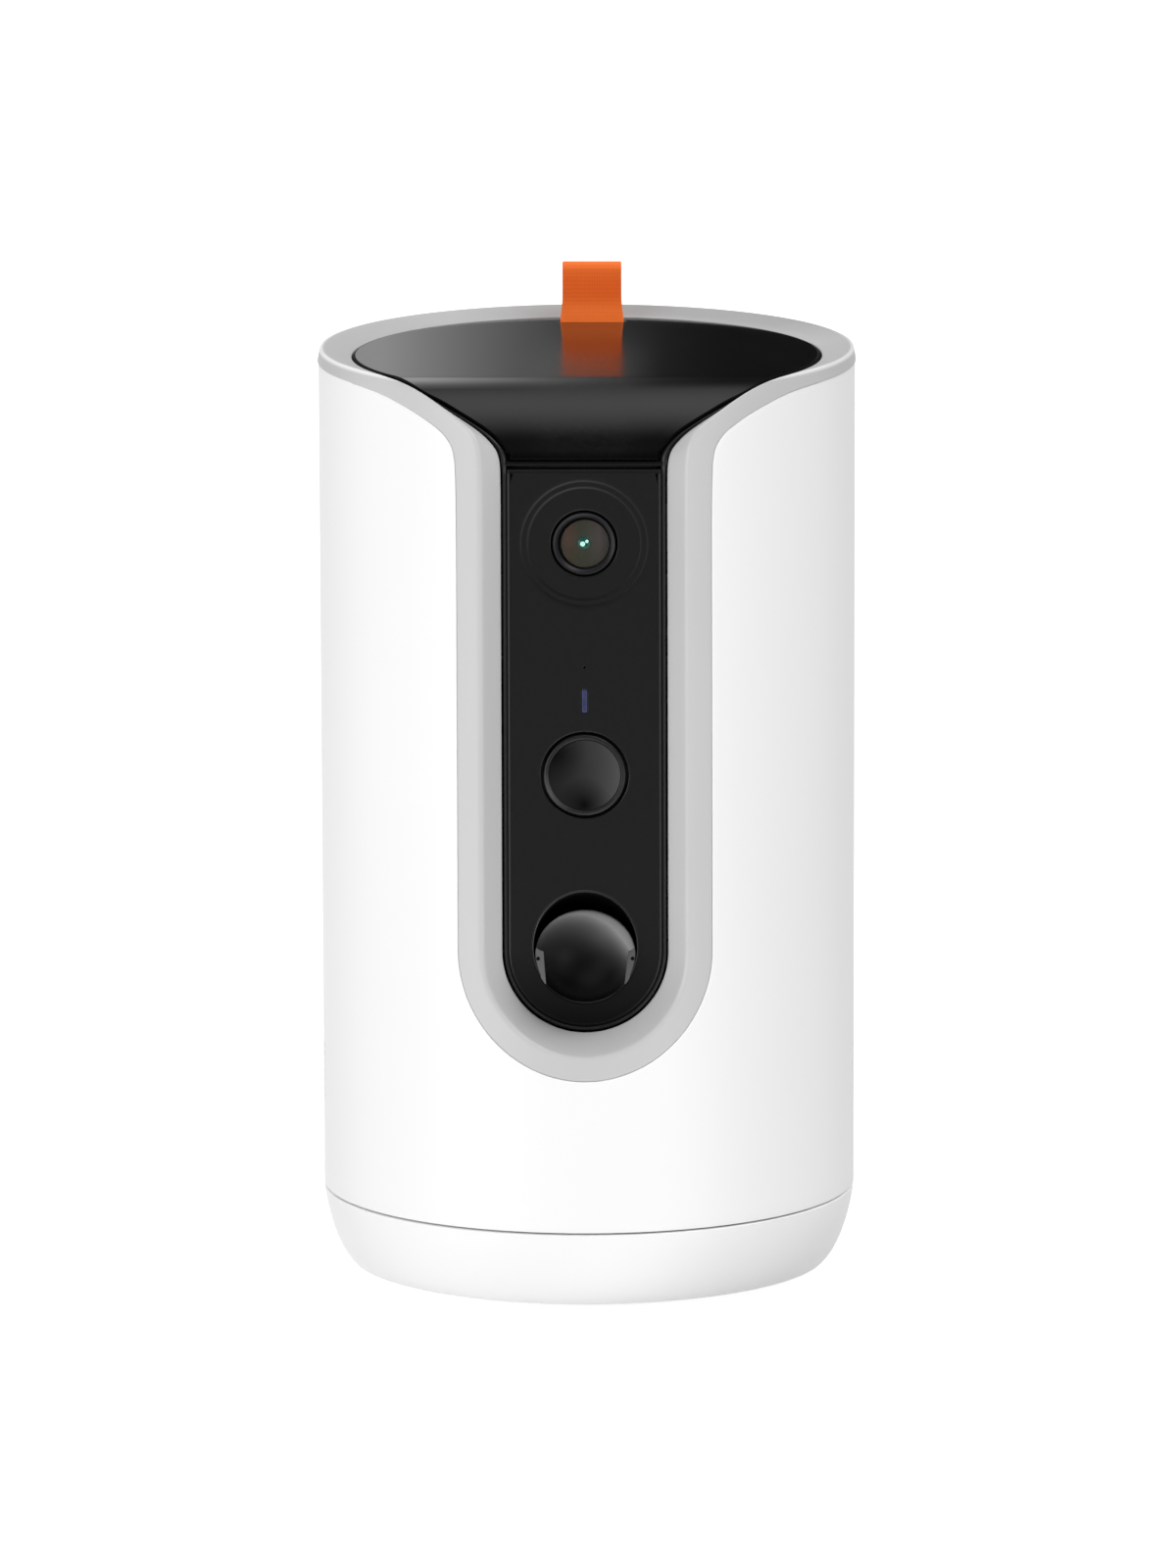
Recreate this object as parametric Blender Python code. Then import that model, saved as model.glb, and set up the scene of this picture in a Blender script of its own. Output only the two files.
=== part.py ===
"""Pet camera with treat bin and treat launcher: a round tower with a recessed front panel.

Metres, +Z up, the front looks along -Y, the tower stands on z = 0 around the Z axis.
Every length below is in millimetres and is turned to metres where a mesh is made.
"""

import math

import bmesh
import bpy
import numpy as np
from mathutils import Matrix, Vector

for old in list(bpy.data.objects):
    bpy.data.objects.remove(old, do_unlink=True)

# ---------------------------------------------------------------- driving dimensions (mm)
MM = 0.001
GAP = 0.3                       # clearance between touching pieces

RIM_R, RIM_TOP = 65.0, 225.5    # collar rim
SHELL_R_TOP, SHELL_R_LOW, SHELL_IN = 64.7, 64.3, 62.3
SHELL_TOP, SHELL_LOW = 221.9, 20.65
CUP_TOP, CUP_LOW = 20.15, 0.8
CUP_FOOT_R, CUP_TOP_R, CUP_WALL = 53.1, 64.3, 2.4
CUP_M, CUP_N = 1.336, 2.37      # shape of the rounded base

U_Z = 88.0                      # centre of the U-shaped front opening
U_SHELL, U_CREST, U_PANEL = 30.4, 24.45, 19.85
U_DROP = 0.5                    # the inner curve's centre sits a little lower
FACE_Y = -54.8                  # plane of the recessed black front
PANEL_Y, PANEL_BACK = -54.5, -52.0
PANEL_HALF, PANEL_TOP = 18.15, 205.0
BAR_LOW, BAR_TOP = 205.6, 207.2  # cross bar between panel and lid nose

LENS_Z, LENS_HOLE, BARREL_R, GLASS_R = 186.5, 8.0, 7.24, 6.07
DISH_R, DISH_DEEP = 13.5, 0.5
LED_Z, LED_W, LED_H = 148.5, 1.3, 5.7
MIC_Z = 156.8
BUTTON_Z, BUTTON_HOLE, BUTTON_R = 130.7, 10.5, 10.1
BUTTON_TRAVEL = 1.2
TUBE_Z, TUBE_R, TUBE_WALL, TUBE_TILT = 88.4, 12.5, 1.7, math.radians(25)
FLAP_Y, FLAP_Z, FLAP_R, FLAP_WALL = -52.3, 87.3, 12.0, 1.3

LID_TOP, LID_R, LID_THICK = 223.5, 55.9, 2.4
NOSE_Y0, NOSE_END_Y, NOSE_LOW = -34.0, -54.9, 207.7
STRAP_W, STRAP_T, STRAP_TOP = 14.4, 2.4, 238.0

BIN_R, BIN_WALL, BIN_FLAT, BIN_LOW, BIN_TOP = 55.0, 2.0, -32.0, 150.0, 220.5
WELL_Y, WELL_R, WELL_LOW = 16.0, 36.0, 128.0
WHEEL_R, WHEEL_LOW, WHEEL_TOP = 35.4, 131.4, 143.0
POCKET_AT, POCKET_R, POCKETS = 21.0, 10.5, 5
PADDLE_Y, PADDLE_Z = 15.0, 91.0

COLLAR_SEG = 80                 # facets round the tower


# ---------------------------------------------------------------- materials
def material(name, colour, rough, metal=0.0):
    mat = bpy.data.materials.new(name)
    mat.use_nodes = True
    shader = mat.node_tree.nodes["Principled BSDF"]
    shader.inputs["Base Color"].default_value = (*colour, 1.0)
    shader.inputs["Roughness"].default_value = rough
    shader.inputs["Metallic"].default_value = metal
    mat.diffuse_color = (*colour, 1.0)
    return mat


# ---------------------------------------------------------------- mesh helpers
def finish_mesh(name, bm, mat, origin=(0.0, 0.0, 0.0), smooth=True):
    """An object from a bmesh in millimetres, with its origin at a point given in millimetres."""
    bmesh.ops.recalc_face_normals(bm, faces=bm.faces[:])
    shift = Vector(origin)
    for v in bm.verts:
        v.co = (v.co - shift) * MM
    mesh = bpy.data.meshes.new(name)
    bm.to_mesh(mesh)
    bm.free()
    if smooth:
        mesh.shade_smooth()
        mesh.set_sharp_from_angle(angle=math.radians(35))
    mesh.materials.append(mat)
    obj = bpy.data.objects.new(name, mesh)
    obj.location = shift * MM
    bpy.context.scene.collection.objects.link(obj)
    return obj


def mesh_from(verts, faces):
    bm = bmesh.new()
    made = [bm.verts.new(v) for v in verts]
    for f in faces:
        bm.faces.new([made[i] for i in f])
    return bm


def frame_axis(axis):
    """Rotation that takes local Z to the given direction."""
    return Vector((0, 0, 1)).rotation_difference(Vector(axis).normalized()).to_matrix()


def lathe_bm(profile, seg, centre=(0, 0, 0), axis=(0, 0, 1)):
    """A turned body from a closed (r, h) outline; points with r = 0 lie on the axis."""
    turn = frame_axis(axis)
    verts, rows = [], []
    for r, h in profile:
        if r < 1e-6:
            rows.append([len(verts)] * seg)
            verts.append(Vector(centre) + turn @ Vector((0, 0, h)))
            continue
        rows.append(list(range(len(verts), len(verts) + seg)))
        for i in range(seg):
            a = 2 * math.pi * i / seg
            verts.append(Vector(centre) + turn @ Vector((r * math.cos(a), r * math.sin(a), h)))
    faces = []
    for j in range(len(rows)):
        one, two = rows[j], rows[(j + 1) % len(rows)]
        for i in range(seg):
            k = (i + 1) % seg
            loop = []
            for index in (one[i], one[k], two[k], two[i]):
                if index not in loop:
                    loop.append(index)
            if len(loop) > 2:
                faces.append(loop)
    return mesh_from(verts, faces)


def lathe(name, profile, mat, seg=48, centre=(0, 0, 0), axis=(0, 0, 1), origin=(0, 0, 0)):
    return finish_mesh(name, lathe_bm(profile, seg, centre, axis), mat, origin)


def prism_bm(outline, low, high, axis="Z"):
    """An extruded closed outline. The outline's plane is XY, XZ or YZ for the axis Z, Y or X."""
    place = {
        "Z": lambda p, h: (p[0], p[1], h),
        "Y": lambda p, h: (p[0], h, p[1]),
        "X": lambda p, h: (h, p[0], p[1]),
    }[axis]
    n = len(outline)
    verts = [place(p, low) for p in outline] + [place(p, high) for p in outline]
    faces = [list(range(n)), list(range(n, 2 * n))[::-1]]
    faces += [[i, (i + 1) % n, n + (i + 1) % n, n + i] for i in range(n)]
    return mesh_from(verts, faces)


def prism(name, outline, low, high, mat, axis="Z", origin=(0, 0, 0), smooth=True):
    return finish_mesh(name, prism_bm(outline, low, high, axis), mat, origin, smooth)


def box_bm(x0, x1, y0, y1, z0, z1):
    return prism_bm([(x0, y0), (x1, y0), (x1, y1), (x0, y1)], z0, z1)


def box(name, span, mat, origin=(0, 0, 0)):
    return finish_mesh(name, box_bm(*span), mat, origin, smooth=False)


def cyl_bm(centre, axis, r, low, high, seg=24):
    return lathe_bm([(0, low), (r, low), (r, high), (0, high)], seg, centre, axis)


def circle(cx, cy, r, n, start=0.0, end=2 * math.pi):
    closed = abs(end - start - 2 * math.pi) < 1e-9
    steps = n if closed else n - 1
    return [
        (cx + r * math.cos(start + (end - start) * i / steps), cy + r * math.sin(start + (end - start) * i / steps))
        for i in range(n)
    ]


def boolean(obj, bm, kind="DIFFERENCE"):
    """Cuts or joins a helper shape. The helper stays in the file, hidden and drawn as wire."""
    helper = finish_mesh(f"helper_{obj.name}_{len(obj.modifiers)}", bm, obj.data.materials[0], smooth=False)
    helper.hide_render = True
    helper.hide_viewport = True
    helper.display_type = "WIRE"
    step = obj.modifiers.new(f"{kind.lower()}_{len(obj.modifiers)}", "BOOLEAN")
    step.operation = kind
    step.solver = "EXACT"
    step.object = helper
    return obj


def several(*parts):
    """Separate closed shapes in one helper mesh."""
    bm = bmesh.new()
    for part in parts:
        mesh = bpy.data.meshes.new("part_of_helper")
        bmesh.ops.recalc_face_normals(part, faces=part.faces[:])
        part.to_mesh(mesh)
        part.free()
        bm.from_mesh(mesh)
        bpy.data.meshes.remove(mesh)
    return bm


def spline(stations, steps):
    """A smooth curve through the stations (Catmull-Rom), the ends kept."""
    pts = np.array(stations, float)
    out = []
    for i in range(len(pts) - 1):
        p1, p2 = pts[i], pts[i + 1]
        p0 = pts[i - 1] if i else 2 * p1 - p2
        p3 = pts[i + 2] if i + 2 < len(pts) else 2 * p2 - p1
        for k in range(steps):
            t = k / steps
            out.append(
                0.5 * (2 * p1 + (p2 - p0) * t + (2 * p0 - 5 * p1 + 4 * p2 - p3) * t**2 + (3 * p1 - p0 - 3 * p2 + p3) * t**3)
            )
    out.append(pts[-1])
    return out


# ---------------------------------------------------------------- the front opening's path
def shell_radius(z):
    return SHELL_R_LOW + (SHELL_R_TOP - SHELL_R_LOW) * (z - 20) / 202


def on_tower(x, z, r=None):
    r = r or shell_radius(z)
    return np.array([x, -math.sqrt(max(r * r - x * x, 0.0)), z])


def at_angle(deg, z, r):
    return np.array([r * math.sin(math.radians(deg)), -r * math.cos(math.radians(deg)), z])


# Right half of the funnel, from the straight sides up to the rim:
# (edge angle, edge z), (crest angle, crest z), inner edge (x, y, z), share of rim shape
FUNNEL = (
    ((28.2, 203.0), (22.3, 203.0), (19.85, -54.8, 202.6), 0.0),
    ((28.4, 206.3), (22.6, 206.6), (19.95, -54.8, 205.8), 0.0),
    ((29.2, 209.5), (23.5, 210.0), (20.6, -54.7, 208.8), 0.05),
    ((31.2, 212.2), (25.3, 213.2), (22.3, -54.3, 211.1), 0.15),
    ((34.0, 214.3), (28.3, 216.3), (25.0, -53.3, 213.3), 0.3),
    ((39.0, 217.0), (33.0, 219.9), (30.0, -51.2, 216.5), 0.5),
    ((46.3, 219.7), (39.8, 223.0), (36.5, -47.0, 219.8), 0.7),
    ((53.0, 221.1), (47.0, 225.0), (41.5, -42.3, 221.9), 0.85),
    ((60.5, 221.9), (57.5, 225.5), (47.2, -31.4, 223.1), 1.0),
)
RIM_EDGE_Z, LID_GAP_R, SEAT_Z = 222.2, 56.7, 223.2


def half_path(u_steps=9, straight=4, funnel_steps=2, rim_steps=15):
    """Sections of the collar along the right half: edge, crest, inner edge, share of rim shape, outward direction."""
    out = []
    for i in range(u_steps):
        a = math.pi / 2 * i / u_steps
        s, c = math.sin(a), math.cos(a)
        out.append(
            (
                on_tower(U_SHELL * s, U_Z - U_SHELL * c),
                on_tower(U_CREST * s, U_Z - U_CREST * c),
                np.array([U_PANEL * s, FACE_Y, U_Z - U_DROP - U_PANEL * c]),
                0.0,
                np.array([s, 0, -c]),
            )
        )
    for i in range(straight):
        z = U_Z + (203.0 - U_Z) * i / straight
        out.append(
            (on_tower(U_SHELL, z), on_tower(U_CREST, z), np.array([U_PANEL, FACE_Y, z]), 0.0, np.array([1.0, 0, 0]))
        )
    rows = [(*e, *c, *i, w) for e, c, i, w in FUNNEL]
    for row in spline(rows, funnel_steps):
        w = min(max(row[7], 0.0), 1.0)
        edge = at_angle(row[0], row[1], shell_radius(row[1]) * (1 - w) + RIM_R * w)
        crest = at_angle(row[2], row[3], shell_radius(row[3]) * (1 - w) + (RIM_R - 0.6) * w)
        inner = np.array(row[4:7])
        side = np.array([1.0 - w, 0, -w * 0.2])
        out.append((edge, crest, inner, w, side / np.linalg.norm(side)))
    for i in range(1, rim_steps + 1):
        t = i / rim_steps
        e = 60.5 + (180 - 60.5) * t
        c = 57.5 + (180 - 57.5) * t
        n = 56.4 + (180 - 56.4) * t
        k = min(1.0, 4 * t)
        out.append(
            (
                at_angle(e, 221.9 + (RIM_EDGE_Z - 221.9) * k, RIM_R),
                at_angle(c, RIM_TOP, RIM_R - 0.6),
                at_angle(n, 223.1 + (SEAT_Z - 223.1) * k, LID_GAP_R),
                1.0,
                np.array([0.0, 0, -1.0]),
            )
        )
    return out


def mirror_x(p):
    return np.array([-p[0], p[1], p[2]])


def collar_sections(path):
    """Seven points for each section, counted from the shell's edge round the crest to the back."""
    loops = []
    for edge, crest, inner, w, side in path:
        radial = lambda p, r: np.array([p[0], p[1], 0]) / math.hypot(p[0], p[1]) * r + np.array([0, 0, p[2]])
        mid = radial((edge + crest) / 2, (np.hypot(*edge[:2]) + np.hypot(*crest[:2])) / 2)
        behind_inner = inner + (1 - w) * (side * 1.5 + np.array([0, 1.9, 0])) + w * np.array([0, 0, -2.6])
        flat = crest * (1 - w) + np.array([crest[0], crest[1], 220.6]) * w
        behind_crest = radial(flat, 61.6 * (1 - w) + 62.0 * w)
        behind_edge = radial(edge - side * 0.4 * (1 - w), 61.9)
        loops.append([edge, mid, crest, inner, behind_inner, behind_crest, behind_edge])
    return loops


# ---------------------------------------------------------------- colours of the pieces
WHITE = material("white_plastic", (0.86, 0.86, 0.86), 0.42)
GREY = material("grey_plastic", (0.62, 0.62, 0.62), 0.45)
BLACK = material("black_plastic", (0.012, 0.012, 0.013), 0.35)
GLOSS = material("black_gloss", (0.006, 0.006, 0.007), 0.12)
ORANGE = material("orange_strap", (0.78, 0.16, 0.02), 0.5)
GLASS = material("lens_glass", (0.05, 0.05, 0.045), 0.05)
BLUE = material("blue_light_pipe", (0.03, 0.04, 0.5), 0.3)
DARK = material("dark_grey_plastic", (0.05, 0.05, 0.055), 0.5)
CLEAR = material("smoke_plastic", (0.35, 0.35, 0.37), 0.3)
GREEN = material("circuit_board", (0.01, 0.12, 0.05), 0.4)
CHIP = material("chip_black", (0.015, 0.015, 0.015), 0.5)
STEEL = material("steel", (0.55, 0.55, 0.57), 0.3, 1.0)
ALU = material("aluminium", (0.7, 0.7, 0.72), 0.4, 1.0)
RUBBER = material("rubber", (0.04, 0.04, 0.04), 0.8)
SILICONE = material("silicone", (0.55, 0.55, 0.55), 0.6)


# ---------------------------------------------------------------- outer shell
def opening_outline(grow):
    """Outline (x, z) of the front opening in the white shell, right and left, grown outwards."""
    right = [p[0] for p in half_path(u_steps=10, straight=2, funnel_steps=2, rim_steps=1)[:-1]]
    pts = np.array([(p[0], p[2]) for p in right])
    tangent = np.gradient(pts, axis=0)
    normal = np.stack([tangent[:, 1], -tangent[:, 0]], 1)
    normal /= np.linalg.norm(normal, axis=1)[:, None]
    pts = pts + grow * normal
    pts[0, 0] = 0.0
    rest = [(pts[-1, 0] + 3.5, SHELL_TOP + 0.2), (70.0, SHELL_TOP + 0.3), (70.0, 240.0)]
    right = [tuple(p) for p in pts] + rest
    return right + [(-x, z) for x, z in right[::-1] if x > 1e-6]


shell = lathe(
    "outer_shell",
    [(SHELL_R_LOW, SHELL_LOW), (SHELL_R_TOP, SHELL_TOP), (SHELL_IN, SHELL_TOP), (SHELL_IN, SHELL_LOW)],
    WHITE,
    seg=COLLAR_SEG,
)
boolean(shell, prism_bm(opening_outline(GAP), -80.0, 0.0, "Y"))
holes = []
for row in range(3):
    for col in range(-4, 5):
        a = math.radians(col * 4.2)
        holes.append(cyl_bm((0, 0, 45.3 + 4.2 * row), (math.sin(a), math.cos(a), 0), 0.9, 58, 70, seg=6))
boolean(shell, several(*holes))

# ---------------------------------------------------------------- collar: rim, funnel and U band in one ring
right_half = half_path()
path = right_half + [
    (mirror_x(e), mirror_x(c), mirror_x(i), w, mirror_x(s)) for e, c, i, w, s in right_half[-2:0:-1]
]
loops = collar_sections(path)
verts = [p for loop in loops for p in loop]
count, width = len(loops), len(loops[0])
faces = []
for i in range(count):
    j = (i + 1) % count
    for k in range(width):
        m = (k + 1) % width
        faces.append([i * width + k, i * width + m, j * width + m, j * width + k])
finish_mesh("rim_collar", mesh_from(verts, faces), GREY)

# ---------------------------------------------------------------- black frame round the panel and up beside the lid nose
inner_path = [(i, s, w) for e, c, i, w, s in half_path(u_steps=9, straight=2, funnel_steps=2, rim_steps=1)]
wing = [p for p in inner_path if p[0][0] < 45.5 and p[2] < 0.95]


def wing_direction(k, pts):
    a, b = pts[max(k - 1, 0)][0], pts[min(k + 1, len(pts) - 1)][0]
    t = np.array([b[0] - a[0], b[2] - a[2]])
    t /= np.linalg.norm(t)
    return np.array([-t[1], 0, t[0]])


FRAME_W = 1.1


def frame_width(x):
    """The black border narrows to nothing where it meets the rim."""
    return FRAME_W * (1 - min(max((x - 35.5) / 10.0, 0.0), 0.9))


rows = []
for k, (p, s, w) in enumerate(wing):
    inward = wing_direction(k, wing) if k else np.array([0.0, 0, 1.0])
    if p[2] > 202.0:
        inward = np.array([-1.0, 0, 0])
    away = np.array([0, 1.0 - w, -w])
    outer = p + inward * GAP
    inner = p + inward * (GAP + frame_width(p[0])) + np.array([0, 0, 0.5 * w])
    rows.append([outer, inner, inner + away * 2.3, outer + away * 2.3])
rows = [[mirror_x(q) for q in row] for row in rows[:0:-1]] + rows
verts = [q for row in rows for q in row]
faces = [[0, 1, 2, 3], [len(verts) - 4 + k for k in (3, 2, 1, 0)]]
for i in range(len(rows) - 1):
    for k in range(4):
        m = (k + 1) % 4
        faces.append([4 * i + k, 4 * i + m, 4 * i + 4 + m, 4 * i + 4 + k])
frame = finish_mesh("panel_frame", mesh_from(verts, faces), BLACK)
boolean(frame, box_bm(-18.9, 18.9, FACE_Y + 0.25, FACE_Y + 2.1, BAR_LOW, BAR_TOP), "UNION")

# ---------------------------------------------------------------- front panel
u_low = U_Z - U_DROP - 0.1
outline = circle(0, u_low, PANEL_HALF, 25, math.pi, 2 * math.pi)
outline = [(x, z) for x, z in outline] + [(PANEL_HALF, PANEL_TOP), (-PANEL_HALF, PANEL_TOP)]
panel = prism("front_panel", outline, PANEL_Y, PANEL_BACK, BLACK, axis="Y")
tube_dir = Vector((0, math.cos(TUBE_TILT), -math.sin(TUBE_TILT)))
mouth = Vector((0, PANEL_Y, TUBE_Z))
boolean(
    panel,
    several(
        cyl_bm((0, 0, LENS_Z), (0, 1, 0), LENS_HOLE, -60, -45, 32),
        box_bm(-LED_W / 2 - 0.15, LED_W / 2 + 0.15, -60, -45, LED_Z - LED_H / 2 - 0.15, LED_Z + LED_H / 2 + 0.15),
        cyl_bm((0, 0, MIC_Z), (0, 1, 0), 0.5, -60, -45, 8),
        cyl_bm((0, 0, BUTTON_Z), (0, 1, 0), BUTTON_HOLE, -60, -45, 40),
        cyl_bm(mouth, tube_dir, TUBE_R, -12, 14, 40),
    ),
)
boolean(panel, cyl_bm((0, 0, LENS_Z), (0, 1, 0), DISH_R, PANEL_Y - 2, PANEL_Y + DISH_DEEP, 40))
boolean(panel, cyl_bm((0, FLAP_Y, FLAP_Z), (1, 0, 0), 1.35, -14.2, 14.2, 12))  # bearing notches for the flap's pins

# ---------------------------------------------------------------- camera module
Y = (0, 1, 0)
lathe(
    "lens_barrel",
    [(BARREL_R, -55.0), (BARREL_R, -46.0), (5.2, -46.0), (5.2, -52.4), (GLASS_R + 0.3, -52.4), (GLASS_R + 0.3, -54.7), (6.7, -55.0)],
    BLACK, seg=32, centre=(0, 0, LENS_Z), axis=Y,
)
lathe(
    "lens_glass",
    [(0, -54.6), (2.2, -54.5), (4.2, -54.1), (GLASS_R, -53.4), (GLASS_R, -52.7), (0, -52.7)],
    GLASS, seg=32, centre=(0, 0, LENS_Z), axis=Y,
)
holder = box("camera_holder", (-8.2, 8.2, -45.7, -40.2, LENS_Z - 8.2, LENS_Z + 8.2), DARK)
boolean(holder, cyl_bm((0, 0, LENS_Z), Y, 5.4, -47, -39, 20))
box("image_sensor", (-4, 4, -41.6, -38.6, LENS_Z - 3, LENS_Z + 3), CHIP)
board = box("camera_board", (-14, 14, -38.3, -37.1, 172, 201), GREEN)
for name, x in (("infrared_led_left", -11.3), ("infrared_led_right", 11.3)):
    lathe(
        name, [(0, -51.4), (1.4, -51.1), (2.3, -49.6), (2.3, -46), (2.7, -46), (2.7, -45), (0, -45)],
        CLEAR, seg=12, centre=(x, 6.3, LENS_Z), axis=Y,
    )

# ---------------------------------------------------------------- status light, microphone and call button
box("button_board", (-13, 13, -43.3, -42.1, 117, 163), GREEN)
box("led_light_pipe", (-LED_W / 2, LED_W / 2, -54.6, -44.6, LED_Z - LED_H / 2, LED_Z + LED_H / 2), BLUE)
lathe(
    "microphone", [(0, -51.7), (3, -51.7), (3, -43.6), (0, -43.6)], STEEL, seg=16, centre=(0, 0, MIC_Z), axis=Y,
)
R_DISH = 20.5                   # radius of the finger dish


def dish_depth(r):
    return math.sqrt(R_DISH**2 - r * r) - math.sqrt(R_DISH**2 - 8.57**2)


profile = [(8.57 * i / 4, -54.75 + dish_depth(8.57 * i / 4)) for i in range(5)]
profile += [(9.3, -55.0), (BUTTON_R, -54.5), (BUTTON_R, -51.5), (11.4, -51.5), (11.4, -50.4), (3.0, -50.4), (3.0, -46.4), (0, -46.4)]
lathe("call_button", profile, BLACK, seg=32, centre=(0, 0, BUTTON_Z), axis=Y, origin=(0, PANEL_Y, BUTTON_Z))
switch = box("button_switch", (-3, 3, -45.0, -43.6, BUTTON_Z - 3, BUTTON_Z + 3), CHIP)

# ---------------------------------------------------------------- treat outlet tube and flap
tube_back = 38.0
ring = [(TUBE_R, -6), (TUBE_R + TUBE_WALL, -6), (TUBE_R + TUBE_WALL, 60), (TUBE_R, 60)]
tube = lathe("outlet_tube", ring, DARK, seg=32, centre=mouth, axis=tube_dir)
boolean(tube, several(box_bm(-30, 30, -80, PANEL_BACK + GAP, 40, 130), box_bm(-30, 30, -22.1, 60, 20, 130)))
boolean(tube, cyl_bm((0, FLAP_Y, FLAP_Z), (1, 0, 0), 1.3, -20, 20, 12))

flap_out, flap_in = FLAP_R, FLAP_R - FLAP_WALL
span = math.radians(100)
profile = [(flap_out * math.sin(span * i / 7), -flap_out * math.cos(span * i / 7)) for i in range(8)]
profile += [(flap_in * math.sin(span * i / 7), -flap_in * math.cos(span * i / 7)) for i in range(7, -1, -1)]
profile[0] = (0, -flap_out)
profile[-1] = (0, -flap_in)
flap = finish_mesh(
    "outlet_flap",
    lathe_bm(profile, 24, (0, FLAP_Y, FLAP_Z), tube_dir),
    BLACK, origin=(0, FLAP_Y, FLAP_Z),
)

for side in (-1, 1):
    boolean(flap, several(cyl_bm(((11.3 if side > 0 else -11.3), FLAP_Y, FLAP_Z), (side, 0, 0), 1.0, 0, 2.4, 12)), "UNION")

# ---------------------------------------------------------------- lid with its nose, liner, seal and pull strap
nose_a, nose_b = NOSE_Y0 - NOSE_END_Y, LID_TOP - NOSE_LOW


def lid_profile(thick):
    """The lid's section in the YZ plane: flat top, then a quarter ellipse down to the panel."""
    top = [(57.5, LID_TOP)]
    under = [(57.5, LID_TOP - thick)]
    for i in range(13):
        a = math.pi / 2 * i / 12
        top.append((NOSE_Y0 - nose_a * math.sin(a), LID_TOP - nose_b * (1 - math.cos(a))))
        under.append((NOSE_Y0 - (nose_a - thick) * math.sin(a), LID_TOP - thick - (nose_b - thick) * (1 - math.cos(a))))
    return top + under[::-1]


front = [
    (i[0] - (GAP + frame_width(i[0]) + 0.5), i[1])
    for e, c, i, w, s in half_path(u_steps=9, straight=2, funnel_steps=2, rim_steps=1)
    if i[2] > 203.5 and i[0] < 46.9 and i[1] < 0
]
front = [(front[0][0], -60.0)] + front
start = math.atan2(front[-1][1], front[-1][0]) + 0.04
right = front + circle(0, 0, LID_R, 34, start, math.pi / 2)
outline = right + [(-x, y) for x, y in right[::-1] if x > 1e-6]
lid = prism("lid", outline, 200.0, 230.0, GLOSS)
boolean(lid, prism_bm(lid_profile(LID_THICK), -60.0, 60.0, "X"), "INTERSECT")
cheek = [
    (i[0] - (GAP + frame_width(i[0]) + 0.5), i[2])
    for e, c, i, w, s in half_path(u_steps=9, straight=2, funnel_steps=2, rim_steps=1)
    if i[2] > 205.0 and i[0] < 43.0 and i[1] < 0
]
cheek = [(cheek[0][0], 200.0)] + cheek + [(62.0, cheek[-1][1]), (62.0, 200.0)]
boolean(lid, several(*[prism_bm([(side * x, z) for x, z in cheek], -70.0, -44.0, "Y") for side in (-1, 1)]))


def bin_outline(r, flat, n=60):
    """A circle cut straight at the front."""
    half = math.asin(-flat / r)
    return circle(0, 0, r, n, -half, math.pi + half)


boolean(lid, box_bm(-8.2, 8.2, 49.0, 52.2, 215, 230))
prism("lid_liner", bin_outline(51.2, -28.0, 40), 214.0, 220.8, DARK)
seal = prism("lid_seal", bin_outline(52.7, -29.5, 40), 215.6, 218.4, SILICONE)
boolean(seal, prism_bm(bin_outline(51.5, -28.3, 40), 210.0, 222.0))

strap_line = [(50.6, LID_TOP - 2.2), (50.6, LID_TOP + 0.3), (50.1, LID_TOP + 3.5), (50.4, LID_TOP + 7.5), (50.9, LID_TOP + 10.5), (51.2, STRAP_TOP - STRAP_T / 2)]
strap_line = spline(strap_line, 3)
left, rightside = [], []
for k, p in enumerate(strap_line):
    a, b = strap_line[max(k - 1, 0)], strap_line[min(k + 1, len(strap_line) - 1)]
    t = (b - a) / np.linalg.norm(b - a)
    n = np.array([-t[1], t[0]])
    left.append(tuple(p + n * STRAP_T / 2))
    rightside.append(tuple(p - n * STRAP_T / 2))
top = strap_line[-1]
cap = [(top[0] - STRAP_T / 2 * math.cos(math.pi * i / 6), top[1] + STRAP_T / 2 * math.sin(math.pi * i / 6)) for i in range(1, 6)]
prism("pull_strap", left + cap + rightside[::-1], -STRAP_W / 2 + 0.2, STRAP_W / 2 + 0.2, ORANGE, axis="X")

# ---------------------------------------------------------------- treat bin and dispensing wheel
hopper = prism("treat_bin", bin_outline(BIN_R, BIN_FLAT, 56), BIN_LOW, BIN_TOP, CLEAR)
boolean(hopper, cyl_bm((0, WELL_Y, 0), (0, 0, 1), WELL_R + BIN_WALL, WELL_LOW, BIN_LOW + 1.5, 48), "UNION")
boolean(
    hopper, prism_bm(bin_outline(BIN_R - BIN_WALL, BIN_FLAT + BIN_WALL, 56), BIN_LOW + 3.0, BIN_TOP + 5)
)
boolean(hopper, lathe_bm([(0, WELL_LOW + 3.0), (WELL_R, WELL_LOW + 3.0), (WELL_R, BIN_LOW + 3.5), (WELL_R + 1.2, BIN_LOW + 6), (0, BIN_LOW + 6)], 48, (0, WELL_Y, 0)))
drop_y = WELL_Y - POCKET_AT
boolean(hopper, cyl_bm((0, drop_y, 0), (0, 0, 1), POCKET_R, WELL_LOW - 2, WELL_LOW + 5, 24))
boolean(hopper, cyl_bm((0, WELL_Y, 0), (0, 0, 1), 3.1, WELL_LOW - 2, WELL_LOW + 5, 16))
box("drop_guard", (-12.0, 12.0, -17.2, 5.6, WHEEL_TOP + 0.6, WHEEL_TOP + 2.4), CLEAR)

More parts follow.
